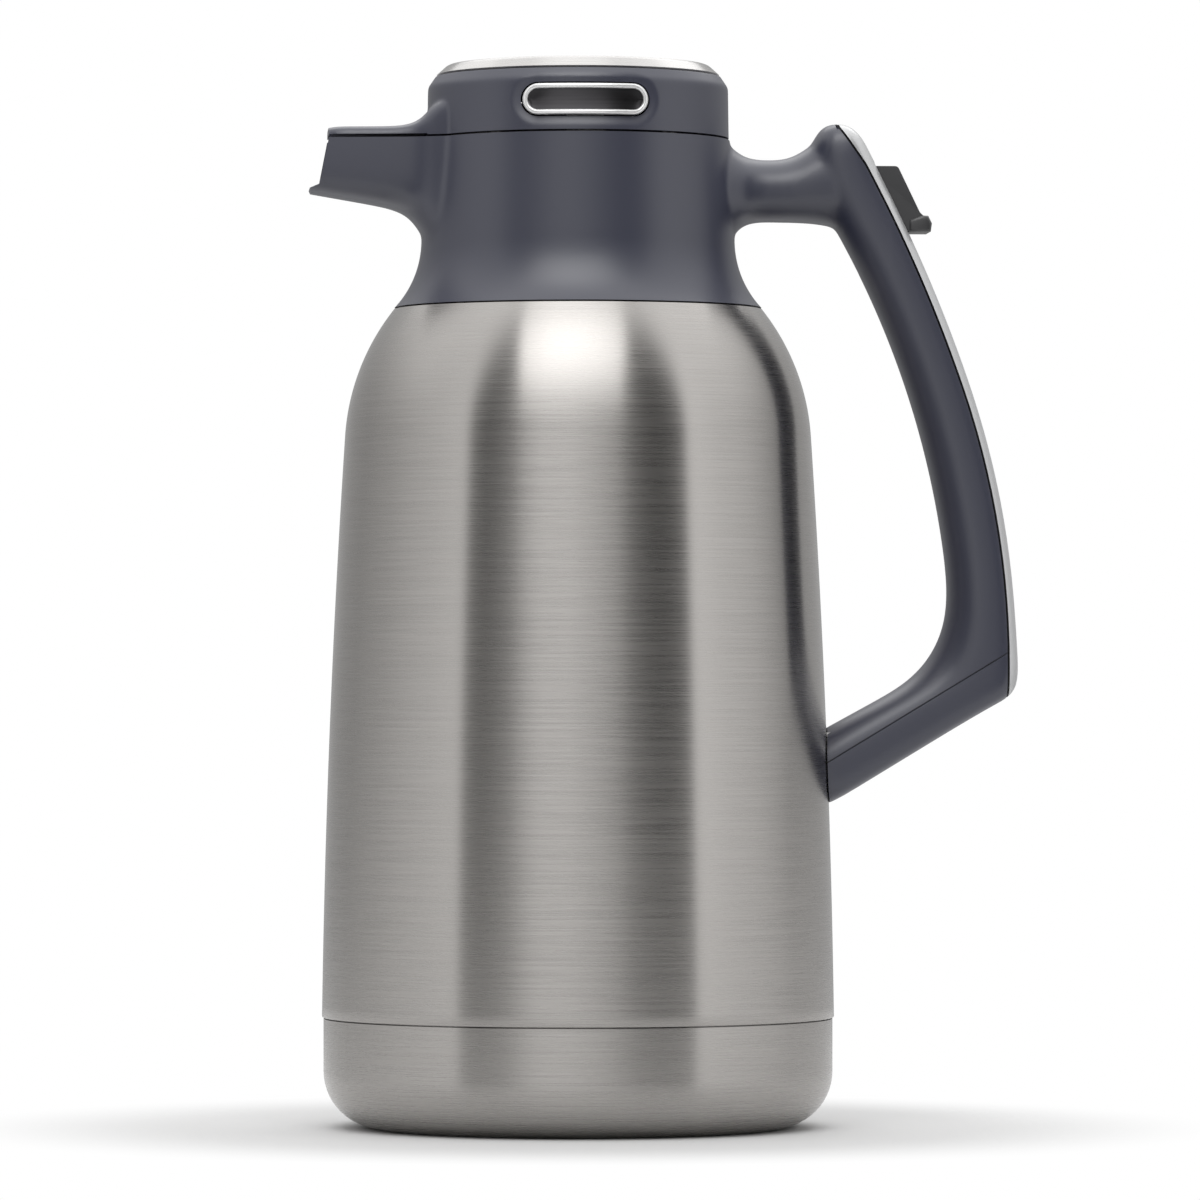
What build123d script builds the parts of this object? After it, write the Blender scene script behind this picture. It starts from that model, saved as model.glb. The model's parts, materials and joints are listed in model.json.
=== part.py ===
from build123d import *
import math
import os

os.makedirs("parts", exist_ok=True)

# Two litre vacuum jug, millimetres, +Z up. The origin is the centre of the base, on the body's axis.
# The spout points to -X and the handle to +X. Heights run up from the base and widths out from the neck
# or the seam, so each piece follows the one that carries it.

# Steel body, from the seam up
seam_z = 29.2            # seam between shell and base cup
seam_r = 67.8            # largest radius, at the seam
low_side_h = 77.8        # seam to the middle of the side
high_side_h = 76.0       # middle of the side to the shoulder's start
cone_h = 24.8            # shoulder's end to the neck's rim
low_taper = 2.1          # radius lost along the lower side
high_taper = 4.0
cone_slope = 37.3        # degrees, the shoulder's end leans in this much
neck_r = 35.2            # outside of the shell's neck
neck_bend_r = 5.0
sheet = 0.6              # thickness of shell, cup and disc
vacuum_gap = 3.6
liner_sheet = 0.5
liner_neck_gap = 1.4     # between the two necks
liner_weld_drop = 4.2    # liner's weld below the seam
liner_lift = 9.0         # liner's floor above the base's recess
liner_corner_r = 12.0

# Base cup
cup_step = 0.4           # the cup is this much smaller than the shell in radius
cup_seam_gap = 0.3
cup_tuck = 6.0           # the cup's rim goes this far up inside the shell
cup_rim_gap = 0.25
cup_corner_r = 15.0
recess_r = 40.0
recess_depth = 3.0
recess_edge_r = 1.5
cover_t = 1.6
cover_edge_gap = 1.5
dimple_depth = 0.6       # hollow in the cover over the seal
dimple_gap = 2.0
seal_hole_r = 2.0
seal_lip = 1.2
getter_r, getter_h, getter_x = 7.0, 2.4, 22.0

# Collar and mouth
gasket_h = 1.0           # between the neck's rim and the deck
gasket_lip = 1.3
deck_t = 2.6
mouth_gap = 1.0          # mouth's radius over the neck's
mouth_wall = 3.9         # at the collar's top
waist_step = 1.4         # waist's radius over the top's
foot_flare = 7.1         # foot's radius over the waist's
foot_cover = 0.9         # shoulder's end past the collar's foot, in radius
foot_lift = 1.4          # foot above the shoulder's end
flare_h = 18.0
side_h = 26.4
collar_wall = 2.6
seat_gap = 0.3           # between collar and shoulder
ring_h = 3.4
ring_drop = 0.5          # from the neck's rim down to the clamp ring
ring_side_gap = 0.1

# Spout, out from the collar's top edge and down from it
spout_reach = 26.1
notch_out, notch_drop = 28.5, 12.2
lip_out, lip_drop = 31.1, 13.2
under_out, under_drop = 30.7, 14.5
root_drop = 19.5
spout_root_fillet = 7.0
spout_root_half = 15.5
spout_tip_half = 11.5
spout_wall = 2.2
spout_bury = 6.0         # the spout's form starts this far inside the collar's edge
channel_start = 3.0      # the channel starts this far inside the mouth
lip_floor_rise = 0.3     # channel's floor over the lip
channel_root_drop = 16.0

# Push rod's height, and the handle's side view: distances out from the seam's radius,
# heights from the rod above and from the middle of the side below
rod_rise = 6.0           # push rod over the deck
arm_over, arm_under = 6.4, 10.3
flank_in, flank_r = 9.3, 6.0
peak_in, peak_rise, peak_r = 0.1, 21.0, 6.3
back_top_out, back_top_rise = 10.2, 6.2
back_mid_out, back_mid_drop = 34.2, 47.8
heel_out, heel_rise, heel_r = 48.6, 8.6, 5.0
back_low_rise = 15.0
under_slope = 31.2       # degrees, the lower arm's underside
crotch_in, crotch_r = 0.3, 7.0
palm_mid_out, palm_mid_drop = 20.8, 58.5
palm_low_out, palm_low_rise = 30.5, 36.0
elbow_out, elbow_rise = 11.7, 6.2
elbow_slope = 28.7       # degrees, the lower arm's top
handle_w = 24.0
handle_edge_r = 4.5
handle_bury = 2.0        # the arms' forms start this far inside the collar's edge
strip_t = 2.6
gasket_t = 0.6
gasket_inset = 0.7
gasket_side_gap = 2.9    # the gasket stops this far short of the handle's sides
seam_in, seam_rise = 2.8, 18.9
seam_slope = 31.2        # degrees, between grip and lower cover
cover_gap = 0.2

# Bracket in the lower arm
pad_t, pad_w, pad_h = 1.5, 14.0, 15.0
pad_gap = 0.1
tongue_t, tongue_w, tongue_l = 2.0, 12.0, 24.0
tongue_root = 1.0
bracket_gap = 0.2
screw_r, screw_l, screw_head_r, screw_head_h = 1.5, 9.5, 2.8, 1.6
screw_bite = 3.5         # past the seam
screw_places = (10.0, 18.0)
screw_well = 12.0
head_gap = 0.2
cross_t, cross_depth = 0.5, 1.2

# Thumb lever and push rod
pin_out, pin_drop, pin_r, pin_l = 14.0, 15.4, 1.2, 20.0
pin_run = 0.05           # running clearance of every pin and stem
lever_w = 14.4
lever_side_gap = 0.6
lever_hub_r, hub_gap = 2.6, 0.5
lever_rise = 20.0        # lever's top over its pin
thumb_face = ((2.3, 19.8), (3.3, 18.7), (9.4, 7.2), (11.8, 3.2), (11.0, 2.5))   # from the pin, top to lip
lever_nose = 5.4
lever_edge_r = 0.8
pad_in, pad_low, pad_high = 7.8, 12.6, 18.0    # flat that pushes the rod, from the pin
pocket_top_gap, pocket_low_gap = 1.0, 0.6
pocket_pad_gap, pocket_pad_low = 3.4, 10.9
rod_r, rod_dome_r = 2.5, 4.0
rod_gap = 0.4            # between rod ends and what they push
rod_way_gap = 0.4
rod_hole_gap = 0.6
guide_r, guide_l = 4.0, 5.0
guide_pad_gap = 11.0     # from the lever's flat in to the outer guide
rod_seal_t, rod_seal_gap = 2.0, 0.3
rod_flange_r, rod_flange_t = 3.9, 1.6
spring_bore_r = 4.4

# Lid, from the collar's top up and in
lid_gap = 0.2
lid_inset = 0.1
lid_draft, lid_side_h = 0.25, 13.6
bevel_w, bevel_h = 2.35, 3.4
disc_slope_w, disc_slope_h = 3.0, 2.7
disc_bend_r = 3.0
disc_ledge = 1.0         # lid under the disc's flat part
lid_wall = 2.4
lid_roof_drop = 2.2      # cavity's roof below the disc's edge
plate_gap, plate_t = 0.7, 2.4

# Stopper and valve
barrel_gap = 0.9         # inside the liner's neck
barrel_wall = 2.2
barrel_drop = 20.0       # barrel's foot below the deck
floor_t = 2.5
seal_h, seal_gap, seal_edge_gap = 1.0, 0.15, 0.2
flange_t, flange_gap = 2.2, 1.0
tower_step, tower_h = 3.3, 14.8
roof_t = 2.4
top_flange_t, top_flange_gap = 2.2, 0.6
port_rise, port_h, port_half = 3.4, 8.6, 9.0
seat_r_out, seat_r_in, seat_t, seat_step = 9.0, 6.0, 3.1, 1.5
plug_r, plug_t = 8.6, 2.2
valve_gap = 0.1
stem_r = 2.2
stem_foot, stem_foot_lip = 1.0, 1.5
stem_flange_r, stem_flange_t = 7.0, 1.0
boss_r, boss_drop = 6.5, 3.0
stem_seal_r, stem_seal_t = 4.2, 1.8
crank_out, crank_rise = 3.7, 2.6
crank_pin_r = 1.25
crank_w, crank_hub_r = 6.0, 2.7
crank_pad_out = 3.1      # flat that the rod pushes, from the crank's pin
crank_arm_t = 3.3
crank_neck_out = 2.0
crank_tail, crank_pad_over = 2.4, 3.5
fork_rise, fork_t = 0.2, 2.0
fork_slot, fork_half, fork_back = 2.8, 4.8, 4.0
bump_r, bump_drop = 1.2, 0.1
nut_r, nut_t, nut_gap = 5.0, 2.0, 0.3
lug_t, lug_gap, lug_reach = 2.2, 0.3, 2.0
lid_screw_r, lid_screw_l, lid_screw_head_r, lid_screw_head_h = 1.5, 12.0, 2.7, 1.8
lid_screw_in = 5.75      # from the stopper's top edge
lid_screw_angles = (45, 135, 225, 315)
lid_well_depth = 4.0
lid_boss_r = 3.2

# Release buttons
button_rise = 8.1        # over the lid's foot
button_w, button_h = 32.8, 8.1
ring_band = 1.3
button_gap = 0.5         # all round, in the lid's wall
carrier_gap = 0.2        # all round, between carrier and ring
insert_gap = 0.1
ring_proud, insert_proud = 0.7, 0.2
carrier_sink = 1.6
glue_gap = 0.05          # between the carrier's face and what is glued to it
button_depth = 12.0      # carrier's back in from the lid's wall
shell_depth = 10.0
button_travel = 2.2
spring_room = 14.0       # from the carrier's back in to the stop
stop_t, stop_half, stop_drop = 1.6, 6.0, 4.0
leaf_gap, leaf_t, leaf_w = 1.0, 1.2, 10.0
leaf_side_gap = 0.6
hook_reach, hook_h, hook_face_h, hook_gap = 2.2, 3.7, 1.2, 0.3
latch_drop = 5.9         # ledge that the hook catches, below the collar's top
latch_depth, latch_half, latch_h = 2.6, 7.0, 6.5

# Springs: wire radius, coil radius, turns
valve_coil = (0.5, 5.2, 8)
rod_coil = (0.4, 3.4, 6)
button_coil = (0.35, 2.8, 8)
spring_seat = 0.15

over = 1.0               # a cutting form runs this far past what it cuts

# Radii and heights that follow: the shoulder is as high as its one arc needs to reach its slope
mid_r, mid_z = seam_r - low_taper, seam_z + low_side_h
side_top_r, side_top_z = mid_r - high_taper, mid_z + high_side_h
mouth_r = neck_r + mouth_gap
collar_top_r = mouth_r + mouth_wall
collar_waist_r = collar_top_r + waist_step
collar_foot_r = collar_waist_r + foot_flare
cone_r = collar_foot_r + foot_cover
side_run = ThreePointArc((seam_r, seam_z), (mid_r, mid_z), (side_top_r, side_top_z)) % 1
side_lean = math.atan2(-side_run.X, side_run.Y)
cone_z = side_top_z + (side_top_r - cone_r) / math.tan((side_lean + math.radians(cone_slope)) / 2)
rim_z = cone_z + cone_h
liner_neck_r = neck_r - sheet - liner_neck_gap
liner_weld_z = seam_z - liner_weld_drop
liner_floor_z = recess_depth + liner_lift
deck_z = rim_z + gasket_h + deck_t
collar_foot_z = cone_z + foot_lift
collar_waist_z = collar_foot_z + flare_h
collar_top_z = collar_waist_z + side_h
rod_z = deck_z + rod_rise

spout_front_x = -collar_top_r - spout_reach
spout_notch = (-collar_top_r - notch_out, collar_top_z - notch_drop)
spout_lip = (-collar_top_r - lip_out, collar_top_z - lip_drop)
spout_under = (-collar_top_r - under_out, collar_top_z - under_drop)
spout_root = (-collar_waist_r, collar_top_z - root_drop)

arm_top_z, arm_bottom_z = rod_z + arm_over, rod_z - arm_under
flank_x = seam_r - flank_in
crotch_x = seam_r - crotch_in
peak = (seam_r - peak_in, rod_z + peak_rise)
back_top = (seam_r + back_top_out, rod_z + back_top_rise)
back_mid = (seam_r + back_mid_out, rod_z - back_mid_drop)
back_low = (seam_r + heel_out, mid_z + back_low_rise)
heel = (seam_r + heel_out, mid_z + heel_rise)
palm_mid = (seam_r + palm_mid_out, rod_z - palm_mid_drop)
palm_low = (seam_r + palm_low_out, mid_z + palm_low_rise)
elbow = (seam_r + elbow_out, mid_z + elbow_rise)
seam_low = (back_low[0] - seam_in, mid_z + seam_rise)

pin_x, pin_z = seam_r + pin_out, rod_z - pin_drop
lever_pad_x = pin_x - pad_in
guide_outer_x = lever_pad_x - guide_pad_gap
rod_seal_x = collar_top_r + waist_step * (collar_top_z - rod_z) / side_h + rod_seal_gap
guide_inner_x = rod_seal_x + rod_seal_t

lid_foot_r, lid_foot_z = collar_top_r - lid_inset, collar_top_z + lid_gap
lid_side_r, lid_side_z = lid_foot_r - lid_draft, lid_foot_z + lid_side_h
lid_edge_r, lid_edge_z = lid_side_r - bevel_w, lid_side_z + bevel_h
disc_flat_r, lid_top_z = lid_edge_r - disc_slope_w, lid_edge_z + disc_slope_h
lid_cavity_r, lid_cavity_z = lid_side_r - lid_wall, lid_edge_z - lid_roof_drop
plate_z = collar_top_z + plate_gap

barrel_r = liner_neck_r - liner_sheet - barrel_gap
barrel_foot_z = deck_z - barrel_drop
flange_r, flange_z = mouth_r - flange_gap, deck_z + seal_h
tower_r, roof_z = barrel_r - tower_step, flange_z + tower_h
stopper_top_r = lid_cavity_r - top_flange_gap
stopper_top_z = roof_z + roof_t + top_flange_t
lid_screw_circle = stopper_top_r - lid_screw_in
plug_z = barrel_foot_z + seat_t + valve_gap
crank_x, crank_z = tower_r + crank_out, stopper_top_z + crank_rise
crank_pad_x = crank_x + crank_pad_out
rod_tip_x = crank_pad_x + rod_gap
fork_top_z = crank_z + fork_rise
nut_z = crank_z - bump_drop + bump_r + nut_gap

button_z = lid_foot_z + button_rise
button_back = lid_foot_r - button_depth
stop_y = button_back - spring_room
leaf_y = mouth_r - leaf_gap - leaf_t
latch_r, latch_z = mouth_r + latch_depth, collar_top_z - latch_drop
hook_z = latch_z - hook_gap - hook_h


def turn(face):
    """Solid of revolution about the jug's axis from a face of radius and height."""
    return revolve(Plane.XZ * face, Axis.Z)


def tube(inner, outer, z0, z1):
    return Pos(0, 0, z0) * extrude(Circle(outer) - Circle(inner), z1 - z0)


def disc(radius, z0, z1):
    return Pos(0, 0, z0) * extrude(Circle(radius), z1 - z0)


def block(x0, x1, y0, y1, z0, z1):
    return Pos(x0, y0, z0) * Box(x1 - x0, y1 - y0, z1 - z0, align=Align.MIN)


def side_cut(face, width):
    """A face drawn in the side view, made width wide about the middle plane."""
    return extrude(Plane.XZ * face, width / 2, both=True)


def rod_x(radius, x0, x1, z):
    return extrude(Plane(origin=(x0, 0, z), z_dir=(1, 0, 0)) * Circle(radius), x1 - x0)


def rod_y(radius, x, z, length):
    return extrude(Plane(origin=(x, 0, z), z_dir=(0, 1, 0)) * Circle(radius), length / 2, both=True)


def near_vertex(face, point):
    return face.vertices().sort_by_distance(Vector(*point))[0]


def round_corners(face, corners):
    """Fillets the corners of a face, given as point and radius."""
    for point, radius in corners:
        face = fillet(near_vertex(face, point), radius)
    return face


def coil(wire_r, coil_r, turns, length):
    """Spring along +Z from the origin, one unbroken tube of the given overall length."""
    height = length - 2 * wire_r
    path = Helix(pitch=height / turns, height=height, radius=coil_r)
    start = Plane(origin=path @ 0, z_dir=path % 0)
    gap = height / turns - 2 * wire_r
    print("spring", round(length, 1), "mm long, least gap between turns", round(gap, 2), "mm")
    return Pos(0, 0, wire_r) * sweep(start * Circle(wire_r), path=path)


def wall_line(inset, throat_r, low_z):
    """The jug's wall from low_z to the neck's rim, set in from the outer surface by inset."""
    side = ThreePointArc((seam_r - inset, seam_z), (mid_r - inset, mid_z), (side_top_r - inset, side_top_z))
    slant = math.radians(cone_slope)
    cone_foot = (cone_r - inset * math.cos(slant), cone_z - inset * math.sin(slant))
    shoulder = TangentArc(side @ 1, cone_foot, tangent=side % 1)
    run = shoulder % 1
    bend_z = cone_foot[1] + (throat_r - cone_foot[0]) * run.Y / run.X
    neck = FilletPolyline(shoulder @ 1, (throat_r, bend_z), (throat_r, rim_z), radius=neck_bend_r)
    line = Curve() + [side, shoulder, neck]
    if low_z < seam_z:
        line = Curve() + [Line((seam_r - inset, low_z), side @ 0), side, shoulder, neck]
    return line


def wall_solid(inset, throat_r, low_z, thickness):
    line = wall_line(inset, throat_r, low_z)
    return turn(make_face(offset(line, amount=thickness, side=Side.LEFT)))


def jug_outline(extra):
    """The jug's outer form as a full solid, grown by extra."""
    line = wall_line(-extra, neck_r + extra, seam_z)
    top, foot = line @ 1, line @ 0
    return turn(make_face(line + Polyline(top, (0, top.Y), (0, foot.Y), foot)))


def outer_shell():
    return wall_solid(0, neck_r, seam_z, sheet)


def liner_body():
    return wall_solid(sheet + vacuum_gap, liner_neck_r, liner_weld_z, liner_sheet)


def liner_bottom():
    radius = seam_r - sheet - vacuum_gap
    line = FilletPolyline((0, liner_floor_z), (radius, liner_floor_z), (radius, liner_weld_z),
                          radius=liner_corner_r)
    return turn(make_face(offset(line, amount=liner_sheet, side=Side.LEFT)))


def cup_line():
    radius = seam_r - cup_step
    return FilletPolyline(
        (seal_hole_r, recess_depth), (recess_r, recess_depth), (recess_r + recess_depth, 0), (radius, 0),
        (radius, seam_z - cup_seam_gap), radius=[recess_edge_r, recess_edge_r, cup_corner_r])


def base_cup():
    pan = turn(make_face(offset(cup_line(), amount=sheet, side=Side.LEFT)))
    rim_r = seam_r - sheet - cup_rim_gap
    rim = tube(rim_r - sheet, rim_r, seam_z - 2 * sheet, seam_z + cup_tuck)
    return pan + rim


def base_cover():
    cover = disc(recess_r - cover_edge_gap, recess_depth - cover_t, recess_depth)
    return cover - disc(seal_hole_r + dimple_gap, recess_depth - dimple_depth, recess_depth)


def vacuum_seal():
    plug = disc(seal_hole_r, recess_depth, recess_depth + sheet)
    return plug + disc(seal_hole_r + seal_lip, recess_depth + sheet, recess_depth + 2 * sheet)


def getter_capsule():
    z0 = recess_depth + sheet
    return Pos(getter_x, 0, z0) * extrude(Circle(getter_r), getter_h)


def neck_gasket():
    return tube(liner_neck_r - liner_sheet, neck_r + gasket_lip, rim_z, deck_z - deck_t)


def clamp_ring():
    z1 = rim_z - ring_drop
    return tube(neck_r, collar_waist_r - collar_wall - ring_side_gap, z1 - ring_h, z1)


def collar_outer():
    flare = TangentArc((collar_waist_r, collar_waist_z), (collar_foot_r, collar_foot_z), tangent=(0, -1))
    side = Line((collar_top_r, collar_top_z), (collar_waist_r, collar_waist_z))
    rest = Polyline((collar_foot_r, collar_foot_z), (0, collar_foot_z), (0, collar_top_z),
                    (collar_top_r, collar_top_z))
    return turn(make_face(Curve() + [side, flare, rest]))


def spout_plan(root_half, tip_half, x_tip):
    """The spout seen from above, from the jug's axis to x_tip."""
    root_x = -collar_top_r + spout_bury
    return make_face(Polyline((root_x, root_half), (x_tip, tip_half), (x_tip, -tip_half), (root_x, -root_half),
                              (root_x, root_half)))


def spout_form():
    inner_x = -mouth_r - over
    side = make_face(Polyline(
        (inner_x, collar_top_z), (spout_front_x, collar_top_z), spout_notch, spout_lip, spout_under, spout_root,
        (spout_root[0], collar_waist_z), (inner_x, collar_waist_z), (inner_x, collar_top_z)))
    side = round_corners(side, [(spout_root, spout_root_fillet)])
    form = side_cut(side, 3 * spout_root_half)
    plan = Pos(0, 0, collar_foot_z) * extrude(
        spout_plan(spout_root_half, spout_tip_half, spout_lip[0] - over), collar_top_z - collar_foot_z)
    return form & plan


def spout_channel():
    start_x, end_x, top_z = channel_start - mouth_r, spout_lip[0] - 2 * over, collar_top_z + over
    root_z, tip_z = collar_top_z - channel_root_drop, spout_lip[1] + lip_floor_rise
    side = make_face(Polyline(
        (start_x, top_z), (end_x, top_z), (end_x, tip_z), (-collar_top_r, root_z), (start_x, root_z),
        (start_x, top_z)))
    form = side_cut(side, 3 * spout_root_half)
    plan = Pos(0, 0, collar_foot_z) * extrude(
        spout_plan(spout_root_half - spout_wall, spout_tip_half - spout_wall, end_x), top_z - collar_foot_z)
    return form & plan


def latch_pockets():
    cut = Part()
    for side in (1, -1):
        y0, y1 = sorted((side * (mouth_r - over), side * latch_r))
        cut += block(-latch_half, latch_half, y0, y1, latch_z - latch_h, latch_z)
    return cut


def collar_spout():
    outer = collar_outer() + spout_form()
    inner = jug_outline(seat_gap) + disc(collar_waist_r - collar_wall, collar_foot_z, deck_z - deck_t)
    inner += disc(liner_neck_r, collar_foot_z, deck_z + over)
    inner += disc(mouth_r, deck_z, collar_top_z + over)
    body = outer - inner - spout_channel() - latch_pockets()
    return body - rod_x(rod_r + rod_hole_gap, mouth_r - over, collar_waist_r + over, rod_z)


def slope_point(start, x, degrees):
    return (x, start[1] + (x - start[0]) * math.tan(math.radians(degrees)))


def back_line():
    """The handle's back, from above the peak down to the heel."""
    lower = TangentArc(back_low, back_mid, tangent=(0, 1))
    upper = TangentArc(lower @ 1, back_top, tangent=lower % 1)
    return Curve() + [Line(peak, back_top), upper, lower, Line(back_low, heel)]


def handle_side():
    """The whole handle's outline in the side view, strip and covers included."""
    inner_x = collar_top_r - handle_bury
    under_foot = slope_point(heel, inner_x, under_slope)
    elbow_foot = slope_point(elbow, inner_x, elbow_slope)
    crotch, flank = (crotch_x, arm_bottom_z), (flank_x, arm_top_z)
    palm = ThreePointArc(crotch, palm_mid, palm_low)
    bend = TangentArc(palm_low, elbow, tangent=palm % 1)
    arm = Polyline(crotch, (inner_x, arm_bottom_z), (inner_x, arm_top_z), flank, peak)
    face = make_face(Curve() + [arm, back_line(), Polyline(heel, under_foot, elbow_foot, elbow), bend, palm])
    return round_corners(face, [(peak, peak_r), (flank, flank_r), (heel, heel_r), (crotch, crotch_r)])


def handle_form():
    form = side_cut(handle_side(), handle_w)
    flat = form.edges().filter_by_position(Axis.Y, -handle_w / 2, -handle_w / 2)
    flat += form.edges().filter_by_position(Axis.Y, handle_w / 2, handle_w / 2)
    return fillet([edge for edge in flat if edge.center().X > collar_top_r], handle_edge_r)


def back_band(depth):
    """Everything of the side view that lies within depth of the handle's back."""
    return make_face(offset(back_line(), amount=depth, side=Side.RIGHT))


def lever_face():
    hub = Pos(pin_x, pin_z) * Circle(lever_hub_r)
    thumb = [(pin_x + out, pin_z + up) for out, up in thumb_face]
    root_x = pin_x + lever_hub_r - pin_run
    nose = (pin_x - lever_nose, pin_z + lever_rise)
    plate = make_face(Polyline(
        nose, *thumb, (root_x, thumb[-1][1]), (root_x, pin_z), (pin_x - lever_hub_r, pin_z),
        (lever_pad_x, pin_z + pad_low), (lever_pad_x, pin_z + pad_high), nose))
    return plate + hub


def lever_pocket():
    """Room for the lever in strip and grip."""
    back_x = back_mid[0]
    hub_x, top_z = pin_x + lever_hub_r + hub_gap, pin_z + lever_rise + pocket_top_gap
    low_z = pin_z + thumb_face[-1][1] - pocket_low_gap
    foot_z = pin_z - lever_hub_r - hub_gap
    inner_x = lever_pad_x - pocket_pad_gap
    side = make_face(Polyline(
        (inner_x, top_z), (back_x, top_z), (back_x, low_z), (hub_x, low_z), (hub_x, foot_z),
        (pin_x - lever_hub_r - hub_gap, foot_z), (inner_x, pin_z + pocket_pad_low), (inner_x, top_z)))
    return side_cut(side, lever_w + 2 * lever_side_gap)


def rod_passage():
    """Stepped bore in the upper arm: two guide seats with a wider spring room between them."""
    bore = rod_x(guide_r, mouth_r, guide_outer_x + guide_l, rod_z)
    room = rod_x(spring_bore_r, guide_inner_x + guide_l, guide_outer_x, rod_z)
    return bore + room + rod_x(rod_r + rod_way_gap, guide_outer_x, lever_pad_x, rod_z)


def lever_pin():
    return rod_y(pin_r, pin_x, pin_z, pin_l)


def arm_bracket_frame():
    """Plane on the lower arm's seam where it meets the body, x outwards along the seam."""
    x0 = mid_r + seat_gap
    z0 = slope_point(seam_low, x0, seam_slope)[1]
    along = Vector(math.cos(math.radians(seam_slope)), 0, math.sin(math.radians(seam_slope)))
    return Plane(origin=(x0, 0, z0), x_dir=along, z_dir=Vector(0, 1, 0).cross(along) * -1)


def tongue_form(extra):
    frame = arm_bracket_frame()
    size = (tongue_l + 2 * extra, tongue_w + 2 * extra, tongue_t + extra)
    return frame * Pos((tongue_l - tongue_root) / 2, 0, -size[2] / 2) * Box(*size)


def pad_form(extra):
    """Plate that lies on the shell behind the lower arm."""
    frame = arm_bracket_frame()
    half = pad_h / 2 + extra
    z = frame.origin.Z
    side = pad_w / 2 + extra
    outer = jug_outline(pad_gap + pad_t + extra)
    return outer & block(neck_r, seam_r + pad_t + 2 * over, -side, side, z - half, z + half)


def handle_bracket():
    holes = [arm_bracket_frame() * Pos(x, 0, 0) * Cylinder(screw_r + head_gap, screw_l) for x in screw_places]
    return pad_form(0) - jug_outline(pad_gap) + (tongue_form(0) - jug_outline(pad_gap + pad_t / 2)) - holes


def screw(radius, length, head_r, head_h):
    """Screw with its head's top at the origin, pointing along +Z, with a cross recess."""
    head = Cylinder(head_r, head_h, align=(Align.CENTER, Align.CENTER, Align.MIN))
    shank = Pos(0, 0, head_h) * Cylinder(radius, length - head_h, align=(Align.CENTER, Align.CENTER, Align.MIN))
    arm = Box(2 * radius, cross_t, 2 * cross_depth)
    return head + shank - arm - Rot(0, 0, 90) * arm


def bracket_screw_places():
    return [arm_bracket_frame() * Pos(x, 0, screw_bite - screw_l) for x in screw_places]


def bracket_screws():
    one = screw(screw_r, screw_l, screw_head_r, screw_head_h)
    return Compound([place * one for place in bracket_screw_places()])


def screw_wells(places, radius, length, head_r, head_h, depth):
    """Tight shank holes with head wells that run depth back from the heads' tops."""
    cut = Part()
    for place in places:
        cut += place * Pos(0, 0, length / 2) * Cylinder(radius, length)
        cut += place * Pos(0, 0, (head_h - depth) / 2) * Cylinder(head_r, depth + head_h)
    return cut


def below_seam():
    """The side-view region under the seam between grip and lower cover."""
    inner = slope_point(seam_low, neck_r, seam_slope)
    outer = slope_point(seam_low, seam_low[0] + handle_w, seam_slope)
    face = make_face(Polyline(inner, outer, (outer[0], seam_z), (inner[0], seam_z), inner))
    return side_cut(face, 2 * handle_w)


def handle_core():
    """The handle without strip and gasket, clear of collar and body."""
    core = handle_form() - side_cut(back_band(strip_t + gasket_t), 2 * handle_w)
    return core - collar_outer() - jug_outline(seat_gap)


def handle_grip(core):
    grip = core - below_seam() - lever_pocket() - rod_passage()
    grip = grip - lever_pin() - pad_form(bracket_gap)
    return grip - screw_wells(bracket_screw_places(), screw_r, screw_l, screw_r, screw_head_h, 0)


def lower_arm_cover(core):
    seam_cut = arm_bracket_frame() * Box(4 * mid_r, 3 * handle_w, 2 * cover_gap)
    cover = (core & below_seam()) - seam_cut
    cover = cover - pad_form(bracket_gap) - tongue_form(bracket_gap)
    return cover - screw_wells(bracket_screw_places(), screw_r, screw_l, screw_head_r + head_gap, screw_head_h,
                               screw_well)


def handle_strip():
    return (handle_form() & side_cut(back_band(strip_t), 2 * handle_w)) - lever_pocket()


def strip_gasket():
    inset_side = offset(handle_side(), amount=-gasket_inset)
    layer = back_band(strip_t + gasket_t) - back_band(strip_t)
    return side_cut(inset_side & layer, handle_w - 2 * gasket_side_gap) - lever_pocket()


def rod_guides():
    bores = rod_x(rod_r + pin_run, 0, lever_pad_x, rod_z)
    guides = [rod_x(guide_r, x, x + guide_l, rod_z) - bores for x in (guide_inner_x, guide_outer_x)]
    return Compound(guides)


def rod_seal():
    return rod_x(guide_r, rod_seal_x, guide_inner_x, rod_z) - rod_x(rod_r + pin_run, 0, lever_pad_x, rod_z)


def thumb_lever():
    lever = side_cut(lever_face(), lever_w)
    thumb_x = pin_x + lever_hub_r
    lever = fillet([e for e in lever.edges() if e.center().X > thumb_x and abs(e.center().Y) > 1], lever_edge_r)
    return lever - rod_y(pin_r + pin_run, pin_x, pin_z, lever_w)


def push_rod():
    x0, x1 = rod_tip_x, lever_pad_x - rod_gap
    flange_x = guide_outer_x - spring_seat - rod_flange_t

    def dome(height):
        return rod_dome_r - math.sqrt(rod_dome_r ** 2 - height ** 2)

    end, half = dome(rod_r), dome(rod_r / 2)
    side = Polyline(
        (x0 + end, rod_r), (flange_x, rod_r), (flange_x, rod_flange_r), (flange_x + rod_flange_t, rod_flange_r),
        (flange_x + rod_flange_t, rod_r), (x1 - end, rod_r))
    tips = [ThreePointArc((x0, 0), (x0 + half, rod_r / 2), (x0 + end, rod_r)),
            ThreePointArc((x1 - end, rod_r), (x1 - half, rod_r / 2), (x1, 0)), Line((x1, 0), (x0, 0))]
    plane = Plane(origin=(0, 0, rod_z), x_dir=(1, 0, 0), z_dir=(0, -1, 0))
    return revolve(plane * make_face(Curve() + [side, *tips]), Axis((0, 0, rod_z), (1, 0, 0)))


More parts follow.
